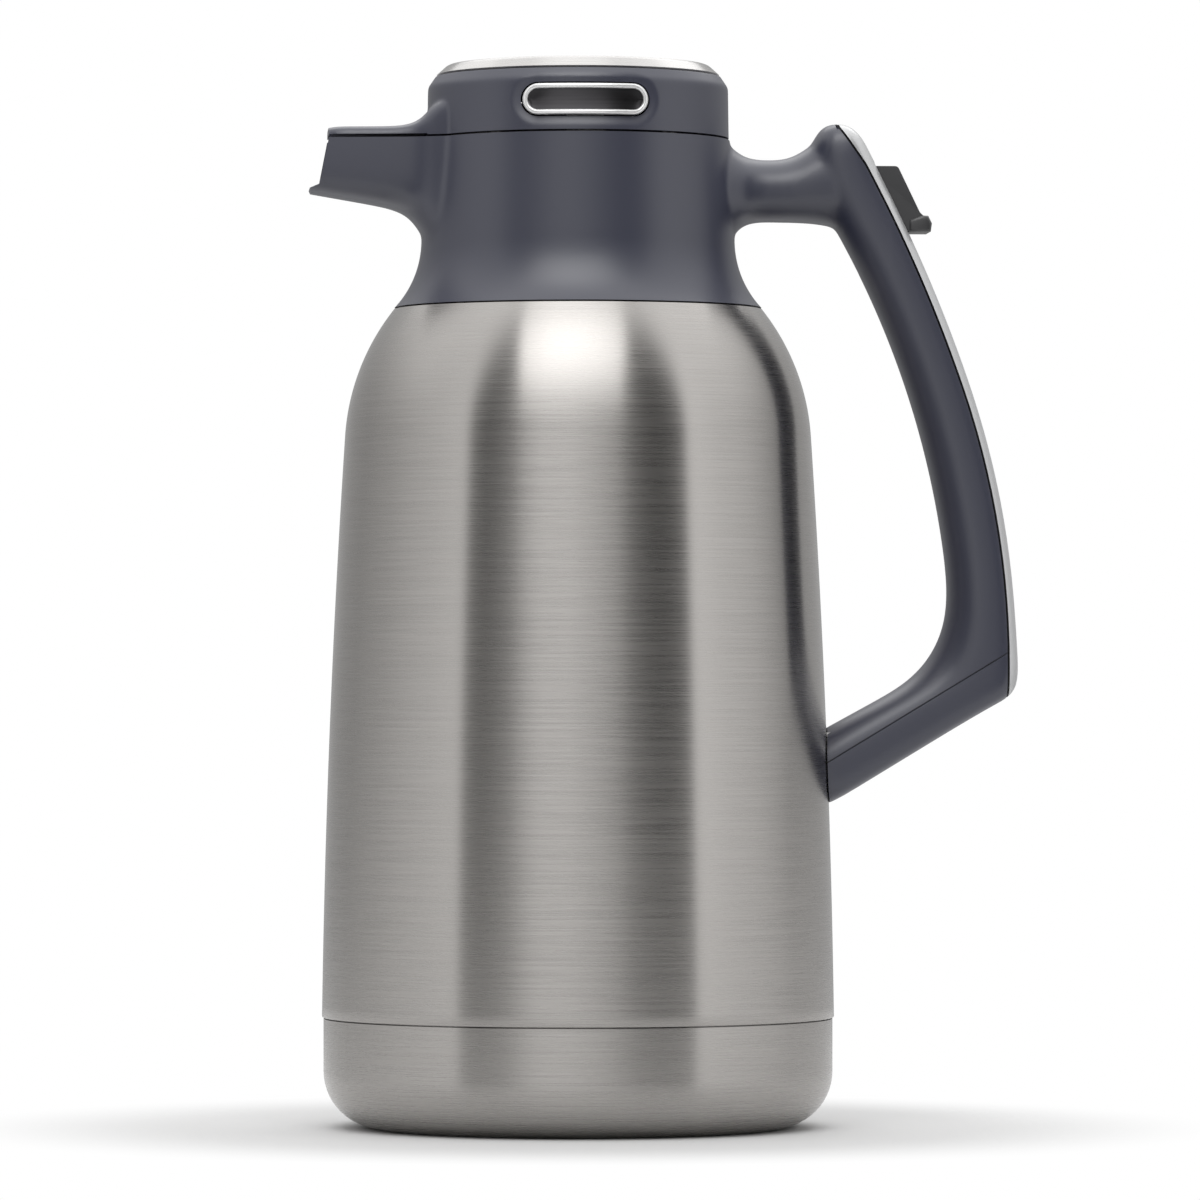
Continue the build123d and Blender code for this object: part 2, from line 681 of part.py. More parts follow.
def rod_spring():
    x0 = guide_inner_x + guide_l + spring_seat
    x1 = guide_outer_x - rod_flange_t - 2 * spring_seat
    spring = coil(*rod_coil, x1 - x0)
    return Plane(origin=(x0, 0, rod_z), z_dir=(1, 0, 0)) * spring


def pill(width, height, y0, y1, side):
    """Pill-shaped bar across the lid's side wall, from distance y0 to y1 on the side given by its sign."""
    plane = Plane(origin=(0, side * y0, button_z), x_dir=(1, 0, 0), z_dir=(0, side, 0))
    return extrude(plane * SlotOverall(width, height), y1 - y0)


def disc_line():
    return FilletPolyline((0, lid_top_z), (disc_flat_r, lid_top_z), (lid_edge_r, lid_edge_z), radius=disc_bend_r)


def lid_disc():
    return turn(make_face(offset(disc_line(), amount=sheet, side=Side.RIGHT)))


def plate_form():
    plan = spout_plan(spout_root_half, spout_tip_half, spout_front_x)
    return Pos(0, 0, plate_z) * extrude(plan, plate_t)


def lid_screw_places():
    z = stopper_top_z - lid_well_depth
    return [Rot(0, 0, angle) * Pos(lid_screw_circle, 0, z) for angle in lid_screw_angles]


def lid_shell():
    seat_z = lid_edge_z - sheet
    outer = Polyline((0, lid_foot_z), (lid_foot_r, lid_foot_z), (lid_side_r, lid_side_z), (lid_edge_r, lid_edge_z),
                     (lid_edge_r, seat_z), (disc_flat_r, seat_z), (disc_flat_r - disc_ledge, lid_top_z - sheet),
                     (0, lid_top_z - sheet), (0, lid_foot_z))
    body = turn(make_face(outer)) + plate_form()
    cavity = disc(lid_cavity_r, lid_foot_z - over, lid_cavity_z)
    for angle in lid_screw_angles:
        boss = extrude(Circle(lid_boss_r), lid_cavity_z - stopper_top_z)
        cavity = cavity - Rot(0, 0, angle) * Pos(lid_screw_circle, 0, stopper_top_z) * boss
    for side in (1, -1):
        y0, y1 = sorted((side * stop_y, side * (stop_y - stop_t)))
        cavity = cavity - block(-stop_half, stop_half, y0, y1, button_z - stop_drop, lid_cavity_z)
    body = body - cavity
    for side in (1, -1):
        hole = pill(button_w + 2 * button_gap, button_h + 2 * button_gap, button_back, lid_foot_r + over, side)
        body = body - hole
    return body - screw_wells(lid_screw_places(), lid_screw_r, lid_screw_l, lid_screw_r, lid_screw_head_h, 0)


def lid_screws():
    one = screw(lid_screw_r, lid_screw_l, lid_screw_head_r, lid_screw_head_h)
    return Compound([place * one for place in lid_screw_places()])


def crank_lugs():
    lugs = Part()
    reach = crank_pin_r + lug_reach
    for side in (1, -1):
        y0 = side * (crank_w / 2 + lug_gap)
        y0, y1 = sorted((y0, y0 + side * lug_t))
        lugs += block(crank_x - reach, crank_x + reach, y0, y1, stopper_top_z - top_flange_t, crank_z + reach)
    return lugs


def top_flange():
    """The stopper's top, with notches for the latch leaves and the crank's tail."""
    z0, z1 = roof_z + roof_t, stopper_top_z
    flange = disc(stopper_top_r, z0, z1)
    half = leaf_w / 2 + leaf_side_gap
    reach = leaf_y - button_travel - leaf_side_gap
    flange = flange - block(-half, half, reach, lid_side_r, z0, z1)
    flange = flange - block(-half, half, -lid_side_r, -reach, z0, z1)
    crank_half = crank_w / 2 + lug_gap
    return flange - block(tower_r, lid_side_r, -crank_half, crank_half, z0, z1)


def stopper_chamber():
    """The way that the drink takes inside the stopper, from its foot to the port."""
    inner_low, inner_high = barrel_r - barrel_wall, tower_r - barrel_wall
    chamber = disc(inner_low, barrel_foot_z + floor_t, flange_z)
    chamber += disc(inner_high, flange_z, roof_z)
    chamber = chamber - disc(boss_r, roof_z - boss_drop, roof_z)
    port_z = flange_z + port_rise
    return chamber + block(-tower_r - over, spout_bury - tower_r, -port_half, port_half, port_z, port_z + port_h)


def stopper_body():
    body = disc(barrel_r, barrel_foot_z, flange_z) + disc(flange_r, flange_z, flange_z + flange_t)
    body += disc(tower_r, flange_z, roof_z + roof_t)
    body += top_flange() + crank_lugs()
    body = body - stopper_chamber() - disc(seat_r_out, barrel_foot_z, barrel_foot_z + floor_t)
    body = body - disc(stem_r + pin_run, roof_z - boss_drop, stopper_top_z)
    body = body - disc(stem_seal_r, roof_z - boss_drop, roof_z - boss_drop + stem_seal_t)
    crank_half = crank_w / 2 + lug_gap
    body = body - block(tower_r - lever_side_gap, tower_r + over, -crank_half, crank_half, flange_z + flange_t,
                        roof_z + roof_t)
    body = body - rod_y(crank_pin_r, crank_x, crank_z, crank_w + 3 * lug_t)
    head_r = lid_screw_head_r + head_gap
    return body - screw_wells(lid_screw_places(), lid_screw_r, lid_screw_l, head_r, lid_screw_head_h,
                              lid_well_depth)


def stopper_seal():
    return tube(barrel_r, flange_r - seal_edge_gap, deck_z + seal_gap, flange_z)


def valve_seat():
    ring = tube(seat_r_in, seat_r_out, barrel_foot_z, barrel_foot_z + floor_t)
    return ring + tube(seat_r_in, seat_r_out - seat_step, barrel_foot_z + floor_t, barrel_foot_z + seat_t)


def valve_plug():
    return tube(stem_r, plug_r, plug_z, plug_z + plug_t)


def valve_stem():
    stem = disc(stem_r, plug_z - stem_foot, nut_z + nut_t)
    foot = disc(stem_r + stem_foot_lip, plug_z - stem_foot, plug_z)
    return stem + foot + disc(stem_flange_r, plug_z + plug_t, plug_z + plug_t + stem_flange_t)


def stem_nut():
    return tube(stem_r, nut_r, nut_z, nut_z + nut_t)


def stem_seal():
    z0 = roof_z - boss_drop
    return tube(stem_r + pin_run, stem_seal_r, z0, z0 + stem_seal_t)


def valve_spring():
    z0 = plug_z + plug_t + stem_flange_t + spring_seat
    z1 = roof_z - boss_drop - spring_seat
    return Pos(0, 0, z0) * coil(*valve_coil, z1 - z0)


def crank_pin():
    return rod_y(crank_pin_r, crank_x, crank_z, crank_w + 2 * (lug_gap + lug_t))


def valve_crank():
    half = crank_w / 2
    arm_x, neck_x, fork_x = crank_pad_x - crank_arm_t, crank_x + crank_neck_out, nut_r + lug_reach
    fork_z = fork_top_z - fork_t
    tail = block(arm_x, crank_pad_x, -half, half, rod_z - crank_tail, rod_z + crank_pad_over)
    neck = block(arm_x, neck_x, -half, half, rod_z, crank_z)
    beam = block(fork_x, crank_x, -half, half, fork_z, fork_top_z)
    fork = block(-fork_back, fork_x + over, -fork_half, fork_half, fork_z, fork_top_z)
    fork = fork - block(-fork_back, fork_slot, -fork_slot, fork_slot, fork_z, fork_top_z)
    bar = rod_y(bump_r, 0, crank_z - bump_drop, 2 * fork_half)
    bumps = bar - block(-fork_back, fork_back, -fork_slot, fork_slot, crank_z - fork_back, crank_z + fork_back)
    bumps = bumps - block(-fork_back, fork_back, -fork_half, fork_half, crank_z - fork_back, fork_z)
    crank = rod_y(crank_hub_r, crank_x, crank_z, crank_w) + tail + neck + beam + fork + bumps
    return crank - rod_y(crank_pin_r + pin_run, crank_x, crank_z, 2 * crank_w)


def button_body(side):
    bar = pill(button_w - 2 * carrier_gap, button_h - 2 * carrier_gap, button_back, lid_foot_r, side)
    return bar & disc(lid_foot_r - carrier_sink, button_z - button_h, button_z + button_h)


def button_shell(inset, proud, side):
    """A pill inside the button's outline, between the carrier and a face that stands proud of the lid's wall."""
    bar = pill(button_w - 2 * inset, button_h - 2 * inset, lid_foot_r - shell_depth, lid_foot_r + over, side)
    z0, z1 = button_z - button_h, button_z + button_h
    return (bar & disc(lid_foot_r + proud, z0, z1)) - disc(lid_foot_r - carrier_sink + glue_gap, z0, z1)


def button_ring(side):
    width, height = button_w - 2 * ring_band, button_h - 2 * ring_band
    hole = pill(width, height, lid_foot_r - shell_depth, lid_foot_r + over, side)
    return button_shell(0, ring_proud, side) - hole


def button_insert(side):
    return button_shell(ring_band + insert_gap, insert_proud, side)


def latch_hook(side):
    low, high = sorted((side * leaf_y, side * (leaf_y + leaf_t)))
    blade = block(-leaf_w / 2, leaf_w / 2, low, high, hook_z, button_z - button_h / 2 + carrier_gap)
    root_y, tip_y, top_z = leaf_y + leaf_t, leaf_y + leaf_t + hook_reach, hook_z + hook_h
    nose = make_face(Polyline(
        (root_y, hook_z), (tip_y, top_z - hook_face_h), (tip_y, top_z), (root_y, top_z), (root_y, hook_z)))
    plane = Plane(origin=(0, 0, 0), x_dir=(0, side, 0), z_dir=(side, 0, 0))
    return blade + extrude(plane * nose, leaf_w / 2, both=True)


def button_spring(side):
    length = button_back - stop_y - 2 * spring_seat
    plane = Plane(origin=(0, side * (stop_y + spring_seat), button_z), z_dir=(0, side, 0))
    return plane * coil(*button_coil, length)


core = handle_core()
parts = {
    "outer_shell": outer_shell(), "base_cup": base_cup(), "base_cover": base_cover(),
    "vacuum_seal": vacuum_seal(), "getter_capsule": getter_capsule(), "liner_body": liner_body(),
    "liner_bottom": liner_bottom(), "neck_gasket": neck_gasket(), "clamp_ring": clamp_ring(),
    "collar_spout": collar_spout(), "handle_grip": handle_grip(core), "lower_arm_cover": lower_arm_cover(core),
    "handle_bracket": handle_bracket(), "bracket_screws": bracket_screws(), "handle_strip": handle_strip(),
    "strip_gasket": strip_gasket(), "lever_pin": lever_pin(), "rod_guides": rod_guides(), "rod_seal": rod_seal(),
    "thumb_lever": thumb_lever(), "push_rod": push_rod(), "rod_spring": rod_spring(),
    "lid_shell": lid_shell(), "lid_disc": lid_disc(), "stopper_body": stopper_body(),
    "stopper_seal": stopper_seal(), "lid_screws": lid_screws(), "valve_seat": valve_seat(),
    "stem_seal": stem_seal(), "crank_pin": crank_pin(), "valve_crank": valve_crank(),
    "valve_stem": valve_stem(), "valve_plug": valve_plug(), "stem_nut": stem_nut(),
    "valve_spring": valve_spring(),
}
for name, side in (("near", -1), ("far", 1)):
    parts["button_body_" + name] = button_body(side)
    parts["button_ring_" + name] = button_ring(side)
    parts["button_insert_" + name] = button_insert(side)
    parts["latch_hook_" + name] = latch_hook(side)
    parts["button_spring_" + name] = button_spring(side)

for name, solid in parts.items():
    export_step(solid, "parts/" + name + ".step")
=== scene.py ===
import bpy, bmesh, json, math
from mathutils import Matrix, Vector


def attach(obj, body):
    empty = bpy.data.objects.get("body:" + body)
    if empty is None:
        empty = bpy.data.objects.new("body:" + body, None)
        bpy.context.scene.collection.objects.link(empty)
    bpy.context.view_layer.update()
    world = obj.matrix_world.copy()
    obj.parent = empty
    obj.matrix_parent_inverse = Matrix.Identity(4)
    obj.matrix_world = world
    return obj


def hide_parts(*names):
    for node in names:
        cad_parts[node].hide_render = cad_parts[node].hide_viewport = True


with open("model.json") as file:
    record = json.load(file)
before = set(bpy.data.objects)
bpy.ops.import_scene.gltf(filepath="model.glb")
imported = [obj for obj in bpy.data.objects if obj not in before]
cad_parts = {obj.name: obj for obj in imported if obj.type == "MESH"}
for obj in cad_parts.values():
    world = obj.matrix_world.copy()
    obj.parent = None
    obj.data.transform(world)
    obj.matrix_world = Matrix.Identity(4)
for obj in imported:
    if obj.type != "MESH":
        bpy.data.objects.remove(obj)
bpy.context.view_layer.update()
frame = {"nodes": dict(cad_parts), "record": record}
nodes = frame["nodes"]
mm = 0.001
scene = bpy.context.scene
print("frame loaded,", len(nodes), "nodes")

# Where the photo's camera stood, worked out from a 1200 x 1200 image
camera = {
    "imagePixels": 1200,
    "mmPerPixel": 0.265,     # at the jug's axis
    "distance": 2120,        # mm from the axis
    "azimuth": -3.2,         # degrees round from square on, minus being towards the spout
    "axisPixel": 578,        # column of the jug's axis
    "floorPixel": 1127,      # row of the floor at the axis
    "eyePixel": 680,         # row of the eye line
}

studio = {
    # degrees round from the camera, strength near the horizon and strength higher up: a pale tent on
    # either side of the jug, and a dark room with one soft window in front
    "round": [(-180, 0.45, 0.9), (-128, 0.42, 1.1), (-103, 0.55, 1.3), (-77, 0.80, 1.05), (-56, 1.03, 1.15),
              (-54, 0.12, 0.18), (-45, 0.10, 0.18), (-31, 0.33, 0.45), (-18, 0.79, 0.90), (-4, 0.80, 0.90),
              (10, 0.52, 0.70), (24, 0.18, 0.28), (38, 0.04, 0.10), (47, 0.05, 0.10), (54, 0.10, 0.18),
              (56, 1.20, 1.4), (74, 0.95, 1.2), (92, 0.78, 1.3), (114, 0.50, 1.3), (180, 0.45, 0.9)],
    "rise": (0.15, 0.70),           # height of a direction, 1 being straight up
    "overhead": 1.6,                # strength straight up, faded in between these two heights
    "overheadFrom": (0.76, 0.96),
    # the floor's grey near the jug is a painted shadow round its base; further out it fades into white
    "shadowRingGrey": (0.64, 0.64, 0.64),
    "floorRadius": 430,
    "floorRoughness": 0.6,
    "floorSpecular": 0.2,
    "shadowRingFade": (0.100, 0.175),    # metres from the jug's axis over which the painted shadow round the base fades into white
}
softboxTarget = (0, 0, 0.13)
softboxes = {
    # place, width and height in metres, watts
    "frontTop": ((-0.10, -0.85, 1.15), (1.1, 0.75), 6.6),
    "backTop": ((0.15, 1.00, 1.25), (1.6, 0.8), 5.0),
}


def addCamera():
    data = bpy.data.cameras.new("photoCamera")
    cam = bpy.data.objects.new("photoCamera", data)
    scene.collection.objects.link(cam)
    half = camera["imagePixels"] / 2
    turn = math.radians(camera["azimuth"])
    right = Vector((math.cos(turn), math.sin(turn), 0))
    ahead = Vector((-math.sin(turn), math.cos(turn), 0))
    across = (half - camera["axisPixel"]) * camera["mmPerPixel"]
    height = (camera["floorPixel"] - camera["eyePixel"]) * camera["mmPerPixel"]
    place = right * across - ahead * camera["distance"] + Vector((0, 0, height))
    cam.matrix_world = Matrix.Translation(place * mm) @ ahead.to_track_quat("-Z", "Y").to_matrix().to_4x4()
    data.sensor_width = 36
    data.lens = data.sensor_width * camera["distance"] / (camera["imagePixels"] * camera["mmPerPixel"])
    data.shift_y = (camera["eyePixel"] - half) / camera["imagePixels"]
    data.clip_end = 20
    scene.camera = cam


def linkNodes(tree, *pairs):
    for a, b in pairs:
        tree.links.new(a, b)


def addMath(tree, kind, a, b=None, c=None):
    node = tree.nodes.new("ShaderNodeMath")
    node.operation = kind
    for slot, value in zip(node.inputs, (a, b, c)):
        if value is None:
            continue
        if hasattr(value, "links"):
            tree.links.new(value, slot)
        else:
            slot.default_value = value
    return node.outputs[0]


def smoothBand(tree, value, low, high):
    node = tree.nodes.new("ShaderNodeMapRange")
    node.interpolation_type = "SMOOTHSTEP"
    tree.links.new(value, node.inputs["Value"])
    node.inputs["From Min"].default_value = low
    node.inputs["From Max"].default_value = high
    return node.outputs["Result"]


def blend(tree, share, first, second):
    return addMath(tree, "MULTIPLY_ADD", share, addMath(tree, "SUBTRACT", second, first), first)


def buildWorld():
    world = bpy.data.worlds.new("studioWorld")
    scene.world = world
    world.use_nodes = True
    tree = world.node_tree
    tree.nodes.clear()
    out = tree.nodes.new("ShaderNodeOutputWorld")
    coord = tree.nodes.new("ShaderNodeTexCoord")
    split = tree.nodes.new("ShaderNodeSeparateXYZ")
    linkNodes(tree, (coord.outputs["Generated"], split.inputs[0]))
    # how far round from the camera a direction points
    angle = addMath(tree, "ARCTAN2", split.outputs["X"], addMath(tree, "MULTIPLY", split.outputs["Y"], -1.0))
    offset = addMath(tree, "SUBTRACT", angle, math.radians(camera["azimuth"]))
    ramp = tree.nodes.new("ShaderNodeValToRGB")
    tree.links.new(addMath(tree, "MULTIPLY_ADD", offset, 0.5 / math.pi, 0.5), ramp.inputs["Fac"])
    stops = ramp.color_ramp.elements
    for i, (degrees, low, high) in enumerate(studio["round"]):
        place = degrees / 360 + 0.5
        stop = stops[i] if i < 2 else stops.new(place)
        stop.position = place
        stop.color = (low, high, 0, 1)
    strengths = tree.nodes.new("ShaderNodeSeparateColor")
    tree.links.new(ramp.outputs["Color"], strengths.inputs[0])
    up = split.outputs["Z"]
    tent = blend(tree, smoothBand(tree, up, *studio["rise"]), strengths.outputs[0], strengths.outputs[1])
    whole = blend(tree, smoothBand(tree, up, *studio["overheadFrom"]), tent, studio["overhead"])
    path = tree.nodes.new("ShaderNodeLightPath")
    seen = addMath(tree, "MAXIMUM", whole, path.outputs["Is Camera Ray"])
    shade = tree.nodes.new("ShaderNodeBackground")
    shade.inputs["Color"].default_value = (1, 1, 1, 1)
    linkNodes(tree, (seen, shade.inputs["Strength"]), (shade.outputs[0], out.inputs["Surface"]))


def addLights():
    for name, (place, size, power) in softboxes.items():
        data = bpy.data.lights.new(name, "AREA")
        data.shape = "RECTANGLE"
        data.size, data.size_y = size
        data.energy = power
        lamp = bpy.data.objects.new(name, data)
        scene.collection.objects.link(lamp)
        aim = Vector(softboxTarget) - Vector(place)
        lamp.matrix_world = Matrix.Translation(place) @ aim.to_track_quat("-Z", "Y").to_matrix().to_4x4()


def addFloor():
    bm = bmesh.new()
    bmesh.ops.create_circle(bm, cap_ends=True, radius=studio["floorRadius"] * mm, segments=96)
    mesh = bpy.data.meshes.new("floor")
    bm.to_mesh(mesh)
    bm.free()
    floor = bpy.data.objects.new("floor", mesh)
    scene.collection.objects.link(floor)
    material = bpy.data.materials.new("paleFloor")
    material.use_nodes = True
    tree = material.node_tree
    shader = tree.nodes["Principled BSDF"]
    # this grey is a painted shadow round the base, kept only within the fade's reach
    shader.inputs["Base Color"].default_value = (*studio["shadowRingGrey"], 1)
    shader.inputs["Roughness"].default_value = studio["floorRoughness"]
    shader.inputs["Specular IOR Level"].default_value = studio["floorSpecular"]
    # far from the jug the floor fades into the white background; nearer in, its grey is a painted shadow
    # round the base, on top of the shadows the lamps cast
    coord = tree.nodes.new("ShaderNodeTexCoord")
    length = tree.nodes.new("ShaderNodeVectorMath")
    length.operation = "LENGTH"
    linkNodes(tree, (coord.outputs["Object"], length.inputs[0]))
    far = smoothBand(tree, length.outputs["Value"], *studio["shadowRingFade"])
    path = tree.nodes.new("ShaderNodeLightPath")
    white = tree.nodes.new("ShaderNodeEmission")
    mix = tree.nodes.new("ShaderNodeMixShader")
    fade = addMath(tree, "MULTIPLY", far, path.outputs["Is Camera Ray"])
    surface = tree.nodes["Material Output"].inputs["Surface"]
    linkNodes(tree, (fade, mix.inputs["Fac"]), (shader.outputs[0], mix.inputs[1]),
              (white.outputs[0], mix.inputs[2]), (mix.outputs[0], surface))
    mesh.materials.append(material)


def plainMaterial(name, colour, roughness, metallic=0.0):
    material = bpy.data.materials.new(name)
    material.use_nodes = True
    shader = material.node_tree.nodes["Principled BSDF"]
    shader.inputs["Base Color"].default_value = (*colour, 1)
    shader.inputs["Roughness"].default_value = roughness
    shader.inputs["Metallic"].default_value = metallic
    return material, material.node_tree, shader


def grainGroup(name, detail):
    tree = bpy.data.node_groups.new(name, "ShaderNodeTree")
    for socket, way in (("Along", "INPUT"), ("Across", "INPUT"), ("Grain", "OUTPUT")):
        tree.interface.new_socket(name=socket, in_out=way, socket_type="NodeSocketFloat")
    given, result = tree.nodes.new("NodeGroupInput"), tree.nodes.new("NodeGroupOutput")
    scale = tree.nodes.new("ShaderNodeCombineXYZ")
    coord = tree.nodes.new("ShaderNodeTexCoord")
    place = tree.nodes.new("ShaderNodeVectorMath")
    place.operation = "MULTIPLY"
    noise = tree.nodes.new("ShaderNodeTexNoise")
    noise.inputs["Scale"].default_value = 1
    noise.inputs["Detail"].default_value = detail
    linkNodes(tree, (given.outputs["Along"], scale.inputs["X"]), (given.outputs["Along"], scale.inputs["Y"]),
              (given.outputs["Across"], scale.inputs["Z"]), (coord.outputs["Object"], place.inputs[0]),
              (scale.outputs[0], place.inputs[1]), (place.outputs[0], noise.inputs["Vector"]),
              (noise.outputs["Fac"], result.inputs["Grain"]))
    return tree


def addGrain(tree, group, length, height):
    node = tree.nodes.new("ShaderNodeGroup")
    node.node_tree = group
    node.inputs["Along"].default_value = 1 / (length * mm)
    node.inputs["Across"].default_value = 1 / (height * mm)
    return node.outputs["Grain"]


def addBump(tree, height, strength, depth, shader):
    bump = tree.nodes.new("ShaderNodeBump")
    bump.inputs["Strength"].default_value = strength
    bump.inputs["Distance"].default_value = depth * mm
    linkNodes(tree, (height, bump.inputs["Height"]), (bump.outputs[0], shader.inputs["Normal"]))


steelLook = {
    "colour": (0.455, 0.437, 0.42), "roughness": 0.28, "anisotropy": 0.95, "grainTurn": 0.25,
    "streakLength": 30, "streakHeight": 0.30, "streakBand": (0.25, 0.75),
    "roughnessSpread": 0.06, "colourSpread": 0.12, "bump": 0.04, "bumpDepth": 0.05,
}
plasticLook = {"grain": 0.05, "grainSize": 0.25, "grainDepth": 0.03}


def buildBrushed(name, changes):
    look = {**steelLook, **changes}
    material, tree, shader = plainMaterial(name, look["colour"], look["roughness"], 1.0)
    streaks = addGrain(tree, grains["brushed"], look["streakLength"], look["streakHeight"])
    spread = look["roughnessSpread"]
    rough = smoothBand(tree, streaks, *look["streakBand"])
    tree.links.new(addMath(tree, "MULTIPLY_ADD", rough, spread, look["roughness"] - spread / 2),
                   shader.inputs["Roughness"])
    tint = tree.nodes.new("ShaderNodeMix")
    tint.data_type = "RGBA"
    dark = 1 - look["colourSpread"]
    tint.inputs["A"].default_value = (*[c * dark for c in look["colour"]], 1)
    tint.inputs["B"].default_value = (*look["colour"], 1)
    linkNodes(tree, (rough, tint.inputs["Factor"]), (tint.outputs["Result"], shader.inputs["Base Color"]))
    addBump(tree, streaks, look["bump"], look["bumpDepth"], shader)
    shader.inputs["Anisotropic"].default_value = look["anisotropy"]
    shader.inputs["Anisotropic Rotation"].default_value = look["grainTurn"]
    tangent = tree.nodes.new("ShaderNodeTangent")
    tangent.direction_type = "RADIAL"
    tangent.axis = "Z"
    tree.links.new(tangent.outputs[0], shader.inputs["Tangent"])
    return material


def buildPlastic(name, colour, roughness, specular=0.5, metallic=0.0):
    material, tree, shader = plainMaterial(name, colour, roughness, metallic)
    shader.inputs["Specular IOR Level"].default_value = specular
    size = plasticLook["grainSize"]
    grain = addGrain(tree, grains["moulded"], size, size)
    addBump(tree, grain, plasticLook["grain"], plasticLook["grainDepth"], shader)
    return material


def arcPoints(centre, radius, startAngle, sweep, steps):
    turns = [startAngle + sweep * i / steps for i in range(steps + 1)]
    return [Vector((centre[0] + radius * math.cos(t), centre[1] + radius * math.sin(t))) for t in turns]


def arcThrough(a, b, c, steps=16):
    a, b, c = Vector(a), Vector(b), Vector(c)
    d = 2 * (a.x * (b.y - c.y) + b.x * (c.y - a.y) + c.x * (a.y - b.y))
    qa, qb, qc = a.length_squared, b.length_squared, c.length_squared
    centre = Vector(((qa * (b.y - c.y) + qb * (c.y - a.y) + qc * (a.y - b.y)) / d,
                     (qa * (c.x - b.x) + qb * (a.x - c.x) + qc * (b.x - a.x)) / d))
    first, last = math.atan2(*(a - centre).yx), math.atan2(*(c - centre).yx)
    sweep = (last - first + math.pi) % (2 * math.pi) - math.pi
    return arcPoints(centre, (a - centre).length, first, sweep, steps)


def tangentArc(start, direction, end, steps=12):
    start, direction, end = Vector(start), Vector(direction).normalized(), Vector(end)
    side = Vector((-direction.y, direction.x))
    chord = end - start
    radius = chord.length_squared / (2 * chord.dot(side))
    centre = start + side * radius
    first, last = math.atan2(*(start - centre).yx), math.atan2(*(end - centre).yx)
    sweep = (last - first + math.pi) % (2 * math.pi) - math.pi
    return arcPoints(centre, abs(radius), first, sweep, steps)


def roundedLine(points, radii, steps=6):
    points = [Vector(p) for p in points]
    line = [points[0]]
    for before, corner, after, radius in zip(points, points[1:], points[2:], radii):
        back, ahead = (before - corner).normalized(), (after - corner).normalized()
        half = back.angle(ahead) / 2
        if radius == 0:
            line.append(corner)
            continue
        reach = radius / math.tan(half)
        line += tangentArc(corner + back * reach, -back, corner + ahead * reach, steps)
    line.append(points[-1])
    return line


def lineEnd(line):
    return (line[-1] - line[-2]).normalized()


def spinLine(line, segments=192):
    bm = bmesh.new()
    verts = [bm.verts.new((p.x, 0, p.y)) for p in line]
    edges = [bm.edges.new(pair) for pair in zip(verts, verts[1:])]
    bmesh.ops.spin(bm, geom=verts + edges, cent=(0, 0, 0), axis=(0, 0, 1), angle=2 * math.pi,
                   steps=segments, use_merge=True)
    bmesh.ops.remove_doubles(bm, verts=bm.verts, dist=1e-4)
    bmesh.ops.recalc_face_normals(bm, faces=bm.faces)
    return bm


def meshObject(bm, name):
    bmesh.ops.scale(bm, vec=(mm, mm, mm), verts=bm.verts)
    mesh = bpy.data.meshes.new(name)
    bm.to_mesh(mesh)
    bm.free()
    obj = bpy.data.objects.new(name, mesh)
    scene.collection.objects.link(obj)
    return obj


def sharpen(mesh, degrees):
    limit = math.radians(degrees)
    bm = bmesh.new()
    bm.from_mesh(mesh)
    for face in bm.faces:
        face.smooth = True
    for edge in bm.edges:
        edge.smooth = not (len(edge.link_faces) == 2 and edge.calc_face_angle(0) > limit)
    bm.to_mesh(mesh)
    bm.free()


def dress(obj, slot, body, *replaced, angle=35):
    obj.data.materials.clear()
    obj.data.materials.append(materials[slot])
    sharpen(obj.data, angle)
    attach(obj, body)
    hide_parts(*replaced)
    print("made", obj.name, len(obj.data.polygons), "faces")


def applied(obj, *changes):
    for kind, values in changes:
        modifier = obj.modifiers.new(kind.lower(), kind)
        for key, value in values.items():
            setattr(modifier, key, value)
    mesh = bpy.data.meshes.new_from_object(obj.evaluated_get(bpy.context.evaluated_depsgraph_get()))
    obj.modifiers.clear()
    old = obj.data
    obj.data = mesh
    bpy.data.meshes.remove(old)
    return obj


def cutWith(obj, operation, *tools):
    for tool in tools:
        applied(obj, ("BOOLEAN", {"operation": operation, "solver": "MANIFOLD", "object": tool}))
    return obj


def copyOf(obj, name):
    other = bpy.data.objects.new(name, obj.data.copy())
    scene.collection.objects.link(other)
    return other


def discard(*objects):
    for obj in objects:
        bpy.data.objects.remove(obj)


def prism(name, outline, half):
    bm = bmesh.new()
    face = bm.faces.new([bm.verts.new((x, -half, z)) for x, z in outline])
    made = bmesh.ops.extrude_face_region(bm, geom=[face])["geom"]
    moved = [v for v in made if isinstance(v, bmesh.types.BMVert)]
    bmesh.ops.translate(bm, vec=(0, 2 * half, 0), verts=moved)
    bmesh.ops.recalc_face_normals(bm, faces=bm.faces)
    return meshObject(bm, name)


def block(name, across, up, half):
    (left, right), (low, high) = across, up
    return prism(name, [(left, low), (right, low), (right, high), (left, high)], half)


def tubeThrough(name, stations, segments=24):
    levels = 2
    bm = bmesh.new()
    loops = []
    for inner, outer, half, innerPower, outerPower in stations:
        inner, outer = Vector(inner), Vector(outer)
        centre, reach = (inner + outer) / 2, (outer - inner) / 2
        ring = bmesh.ops.create_circle(bm, cap_ends=False, radius=1, segments=segments)["verts"]
        for vert in ring:
            c, s = vert.co.x, vert.co.y
            power = 2 / (outerPower if c > 0 else innerPower)
            u = math.copysign(abs(c) ** power, c)
            v = math.copysign(abs(s) ** power, s)
            place = centre + reach * u
            vert.co = (place.x, v * half, place.y)
        loops.append(list({edge for vert in ring for edge in vert.link_edges}))
    for first, second in zip(loops, loops[1:]):
        bmesh.ops.bridge_loops(bm, edges=first + second)
    bmesh.ops.holes_fill(bm, edges=loops[0] + loops[-1], sides=0)
    bmesh.ops.recalc_face_normals(bm, faces=bm.faces)
    return applied(meshObject(bm, name), ("SUBSURF", {"levels": levels, "render_levels": levels}))


